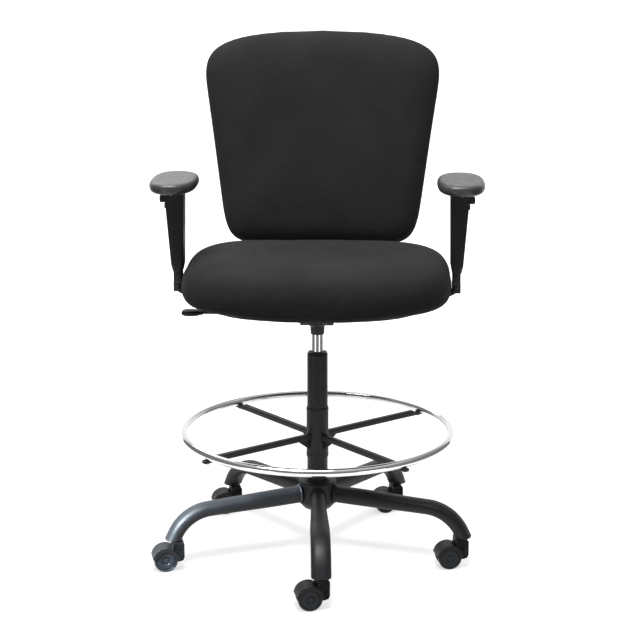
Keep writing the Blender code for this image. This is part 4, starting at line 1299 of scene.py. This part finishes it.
def arm_bracket(side, sign):
    """Flat strip bent up beside the cushion, and the tube and shoe that the sleeve rides on."""
    node = f"arm_bracket_{side}"
    curve = smooth_line(STRIP_PATH[1:], 36)
    path = [STRIP_PATH[0]] + curve
    outline = [(sign * x, z) for x, z in strip_outline(path, STRIP_THICK)]
    half_wide = (STRIP_Y[1] - STRIP_Y[0]) / 2
    flat = slab(f"arm_strip_{side}", outline, (0, sum(STRIP_Y) / 2, 0), (1, 0, 0), UP,
                -half_wide, half_wide, 0.0014, 3)
    at = (sign * sum(POST_X) / 2, sum(POST_Y) / 2)
    half_x, half_y = (POST_X[1] - POST_X[0]) / 2, (POST_Y[1] - POST_Y[0]) / 2
    post = block(f"arm_tube_{side}", half_x, half_y, 0.003, POST_Z, at)
    shoe = block(f"arm_shoe_{side}", half_x + 0.0006, half_y + 0.0006, 0.0035,
                 (POST_Z[0] - 0.0006, POST_Z[0] + 0.022), at)
    settle(merge(f"arm_bar_{side}", [flat, post, shoe]), "seat_frame", "black_steel", node)
    for i, x in enumerate((0.165, 0.190, 0.215)):
        at = (sign * x, sum(STRIP_Y) / 2, low(node).z)
        bolt_head(f"arm_bolt_{side}_{i + 1}", at, (0, 0, -1), "seat_frame")


def arm_sleeve(side, sign):
    """Tapered sleeve with chamfered outer corners, a finger ledge and a flat head."""
    node = f"arm_sleeve_{side}"
    middle_y = sum(POST_Y) / 2

    def section(inner, outer, half_deep, chamfer=0.0075):
        half = (outer - inner) / 2
        c = min(chamfer, half * 0.8)
        corners = [
            (half, half_deep - 1.4 * c), (half - c, half_deep), (-half, half_deep),
            (-half, -half_deep), (half - c, -half_deep), (half, -half_deep + 1.4 * c),
        ]
        radii = [0.003, 0.003, 0.004, 0.004, 0.003, 0.003]
        mid = (inner + outer) / 2
        return [(sign * (mid + u), middle_y + v) for u, v in fillet(corners, radii, True, 4)]

    rings = [
        [(x, y, z) for x, y in section(inner, outer, half_deep)]
        for z, inner, outer, half_deep in SLEEVE_SECTIONS
    ]
    shell = loft(f"sleeve_skin_{side}", rings, auto_angle=28)
    slack = 0.0004
    half_x, half_y = (POST_X[1] - POST_X[0]) / 2 + slack, (POST_Y[1] - POST_Y[0]) / 2 + slack
    bore = block(f"bore_{side}", half_x, half_y, 0.003, (0.69, 0.9030),
                 (sign * sum(POST_X) / 2, middle_y))
    pocket = slab(
        f"pocket_{side}", rounded_box(0.0095, 0.00875, 0.002, 4), (0, middle_y, 0.88825),
        (0, 1, 0), UP, *sorted(sign * x for x in POCKET_X),
    )
    carve(shell, bore, pocket)
    ledge = slab(
        f"ledge_{side}", rounded_box(0.0115, 0.0060, 0.003, 5), (0, middle_y, 0.8725),
        (0, 1, 0), UP, *sorted(sign * x for x in LEDGE_X), 0.0012, 3,
    )
    head = slab(
        f"sleeve_head_{side}", rounded_box(0.0295, 0.045, 0.010, 6),
        (sign * HEAD_X, middle_y, 0.0), (1, 0, 0), (0, 1, 0), *HEAD_Z, 0.0014, 3,
    )
    settle(merge(f"sleeve_{side}", [shell, head, ledge]), f"arm_{side}", "black_plastic", node)
    for i, y in enumerate((-0.058, 0.008)):
        bolt_head(f"pad_screw_{side}_{i + 1}", (sign * HEAD_X, y, HEAD_Z[0]), (0, 0, -1),
                  f"arm_{side}", 0.0042, 0.0022)


def arm_button(side, sign):
    node = f"arm_button_{side}"
    lo, hi = low(node), high(node)
    mid = (lo + hi) / 2
    half_y, half_z = (hi.y - lo.y) / 2, (hi.z - lo.z) / 2
    rings = []
    reach = abs(hi.x - lo.x)
    near = sign * min(abs(lo.x), abs(hi.x))
    for t, shrink in ((0.0, 0.0), (0.72, 0.0), (0.88, 0.0005), (0.97, 0.0016), (1.0, 0.0034)):
        x = near + sign * reach * t
        rings.append([
            (x, mid.y + u * (half_y - shrink) / half_y, mid.z + v * (half_z - shrink) / half_z)
            for u, v in rounded_box(half_y, half_z, 0.0026, 5)
        ])
    settle(loft(f"release_{side}", rings, auto_angle=50), f"arm_release_{side}", "black_plastic",
           node)


PAD_SECTIONS = (
    (0.70, 0.0000), (0.86, 0.0002), (0.955, 0.0035), (1.0, 0.0110), (0.995, 0.0170),
    (0.965, 0.0215), (0.90, 0.0246), (0.78, 0.0259), (0.50, 0.0260), (0.05, 0.0260),
)


def arm_pad(side):
    node = f"arm_pad_{side}"
    lo, hi = low(node), high(node)
    mid = (lo + hi) / 2
    half_x, half_y = (hi.x - lo.x) / 2, (hi.y - lo.y) / 2
    rings = []
    for scale, rise in smooth_line(PAD_SECTIONS, 60):
        ring = []
        inset = (1 - scale) * half_x
        for k in range(120):
            u, v = superellipse(2 * math.pi * k / 120, 2.6)
            ring.append((mid.x + u * (half_x - inset), mid.y + v * (half_y - inset), lo.z + rise))
        rings.append(ring)
    made = loft(f"pad_{side}", rings)
    moulded = surface_of(made)
    fill_cloth(made, mid, 0.003, 3.0, 0.003)
    hold_shape(made, moulded)
    into_box(made, lo, hi)
    for v in made.data.vertices:
        along = (v.co.y - mid.y) / half_y
        across = (v.co.x - mid.x) / half_x
        top = smoothstep((v.co.z - hi.z + 0.006) / 0.005)
        v.co.z -= 0.0012 * top * (1 - across * across) * max(0.0, 1 - along * along)
    finish_cushion(made, f"arm_{side}", "arm_pad_skin", node)


def arms():
    for side, sign in SIDES:
        arm_bracket(side, sign)
        arm_sleeve(side, sign)
        arm_button(side, sign)
        arm_pad(side)


# ---------------------------------------------------------------- build
base()
casters()
gas_lift()
foot_ring()
foot_liner()
foot_knob()
mechanism()
lever()
tension_knob()
tension_spring()
seat_cushion()
back_cushion()
back_shell()
back_upright()
arms()
dress_frame()


# ---------------------------------------------------------------- studio
WORLD_BY_HEIGHT = ((0.0, 0.27), (0.44, 0.27), (0.54, 0.06), (0.64, 0.09), (0.85, 0.40), (1.0, 0.80))
WORLD_BEHIND = ((0.55, 0.0), (0.80, 0.6), (1.0, 1.05))
BACKDROP_BY_HEIGHT = ((0.50, 1.0), (0.66, 0.9), (0.80, 0.0))
BACKDROP_RADIUS = 30.0
FLOOR_POWER = 90.0
BASE_NAMES = ("leg_", "hub", "hood_", "wheel_", "caster_")
REFLECTION_CARDS = (
    ("card_left", (-1.25, 0.10, 0.60), 90.0, 2.10, 1.2),
    ("card_right", (1.25, 0.10, 0.60), 90.0, 2.10, 1.2),
    ("card_front", (0.06, -1.50, 0.36), 0.0, 1.70, 0.72),
)


def studio():
    world = bpy.data.worlds.new("studio")
    world.use_nodes = True
    nodes, links = world.node_tree.nodes, world.node_tree.links
    direction = nodes.new("ShaderNodeTexCoord").outputs["Generated"]
    parts = nodes.new("ShaderNodeSeparateXYZ")
    links.new(direction, parts.inputs[0])

    def ramp(value, start, end, stops):
        spread = nodes.new("ShaderNodeMapRange")
        spread.inputs["From Min"].default_value = start
        spread.inputs["From Max"].default_value = end
        links.new(value, spread.inputs["Value"])
        made = nodes.new("ShaderNodeValToRGB")
        while len(made.color_ramp.elements) < len(stops):
            made.color_ramp.elements.new(0.5)
        for element, (position, grey) in zip(made.color_ramp.elements, stops):
            element.position = position
            element.color = (grey, grey, grey, 1.0)
        links.new(spread.outputs["Result"], made.inputs["Fac"])
        return made.outputs["Color"]

    height = ramp(parts.outputs["Z"], -1.0, 1.0, WORLD_BY_HEIGHT)
    behind = ramp(parts.outputs["Y"], -1.0, 1.0, WORLD_BEHIND)
    backdrop = ramp(parts.outputs["Z"], -1.0, 1.0, BACKDROP_BY_HEIGHT)
    glow = nodes.new("ShaderNodeVectorMath")
    glow.operation = "MULTIPLY_ADD"
    links.new(behind, glow.inputs[0])
    links.new(backdrop, glow.inputs[1])
    links.new(height, glow.inputs[2])
    background = nodes["Background"]
    links.new(glow.outputs["Vector"], background.inputs["Color"])
    bpy.context.scene.world = world
    bpy.context.scene.view_settings.view_transform = "Standard"

    bpy.ops.mesh.primitive_plane_add(size=240.0, location=(0.0, 0.0, 0.0))
    ground = bpy.context.active_object
    ground.name = "studio_floor"
    ground.data.materials.append(floor_material())
    ground.visible_diffuse = False

    white = Shader("backdrop", (0.9, 0.9, 0.9), 1.0)
    white.put("Emission Color", (1.0, 1.0, 1.0, 1.0))
    white.put("Emission Strength", 1.0)
    bpy.ops.mesh.primitive_uv_sphere_add(segments=48, ring_count=24, radius=BACKDROP_RADIUS)
    backdrop_dome = bpy.context.active_object
    backdrop_dome.name = "studio_backdrop"
    backdrop_dome.data.materials.append(white.material)
    backdrop_dome.visible_diffuse = False
    backdrop_dome.visible_glossy = False
    backdrop_dome.visible_shadow = False

    card = Shader("reflection_card", (0.02, 0.02, 0.02), 0.9)
    card.put("Emission Color", (1.0, 1.0, 1.0, 1.0))
    card.put("Emission Strength", 0.16)
    for name, at, turn, wide, tall in REFLECTION_CARDS:
        bpy.ops.mesh.primitive_plane_add(size=1.0, location=at)
        made = bpy.context.active_object
        made.name = name
        made.scale = (wide, tall, 1.0)
        made.rotation_euler = (math.radians(90.0), 0.0, math.radians(turn))
        made.data.materials.append(card.material)
        made.visible_camera = False
        made.visible_diffuse = False
        made.visible_shadow = False


def area_light(name, at, aim, size, power, colour=(1.0, 1.0, 1.0)):
    light = bpy.data.lights.new(name, "AREA")
    light.color = colour
    light.shape = "SQUARE"
    light.size = size
    light.energy = power
    obj = bpy.data.objects.new(name, light)
    bpy.context.scene.collection.objects.link(obj)
    obj.location = at
    obj.rotation_euler = (Vector(aim) - Vector(at)).to_track_quat("-Z", "Y").to_euler()
    return obj


def leg_shadows(key, fill, rim):
    """A light for the floor alone, in which only the base casts its faint shadow.

    The cool light from the left reaches the left front leg only."""
    ground = bpy.data.objects["studio_floor"]
    rest = bpy.data.collections.new("all_but_floor")
    rest.objects.link(ground)
    rest.collection_objects[0].light_linking.link_state = "EXCLUDE"
    for light in (key, rim):
        light.light_linking.receiver_collection = rest
    above = area_light("floor_light", (0.0, -2.6, 5.0), (0.0, 0.0, 0.0), 1.1, FLOOR_POWER)
    lit = bpy.data.collections.new("floor_only")
    lit.objects.link(ground)
    above.light_linking.receiver_collection = lit
    base_pieces = bpy.data.collections.new("base_pieces")
    for obj in bpy.context.scene.objects:
        if obj.type == "MESH" and obj.name.startswith(BASE_NAMES):
            base_pieces.objects.link(obj)
    above.light_linking.blocker_collection = base_pieces
    left_pieces = bpy.data.collections.new("left_leg_pieces")
    for obj in base_pieces.objects:
        middle = obj.matrix_world @ (sum((Vector(c) for c in obj.bound_box), Vector()) / 8)
        if middle.x < -0.10 and middle.y < 0.05:
            left_pieces.objects.link(obj)
    fill.light_linking.receiver_collection = left_pieces
    fill.data.spread = math.radians(45.0)


CAMERA_AT = (0.1586, -4.128, 1.589)
CAMERA_PITCH = math.radians(13.6)         # downwards
CAMERA_YAW = math.atan2(0.1586, 4.128) - math.radians(0.085)
FOCAL_LENGTH = 99.2
SENSOR_WIDTH = 36.0


def camera():
    lens = bpy.data.cameras.new("camera")
    lens.lens = FOCAL_LENGTH
    lens.sensor_width = SENSOR_WIDTH
    lens.dof.use_dof = False
    obj = bpy.data.objects.new("camera", lens)
    obj.location = CAMERA_AT
    obj.rotation_euler = (math.pi / 2 - CAMERA_PITCH, 0.0, CAMERA_YAW)
    bpy.context.scene.collection.objects.link(obj)
    bpy.context.scene.camera = obj


studio()
leg_shadows(
    area_light("key", (-0.9, -0.9, 4.8), (0.0, 0.0, 0.7), 2.4, 290.0),
    area_light("fill", (-1.7, -1.0, 1.5), (-0.34, -0.05, 0.10), 0.6, 32.0, (0.80, 0.91, 1.0)),
    area_light("rim", (-1.5, 3.2, 3.4), (0.0, 0.0, 0.8), 2.2, 25.0),
)
camera()
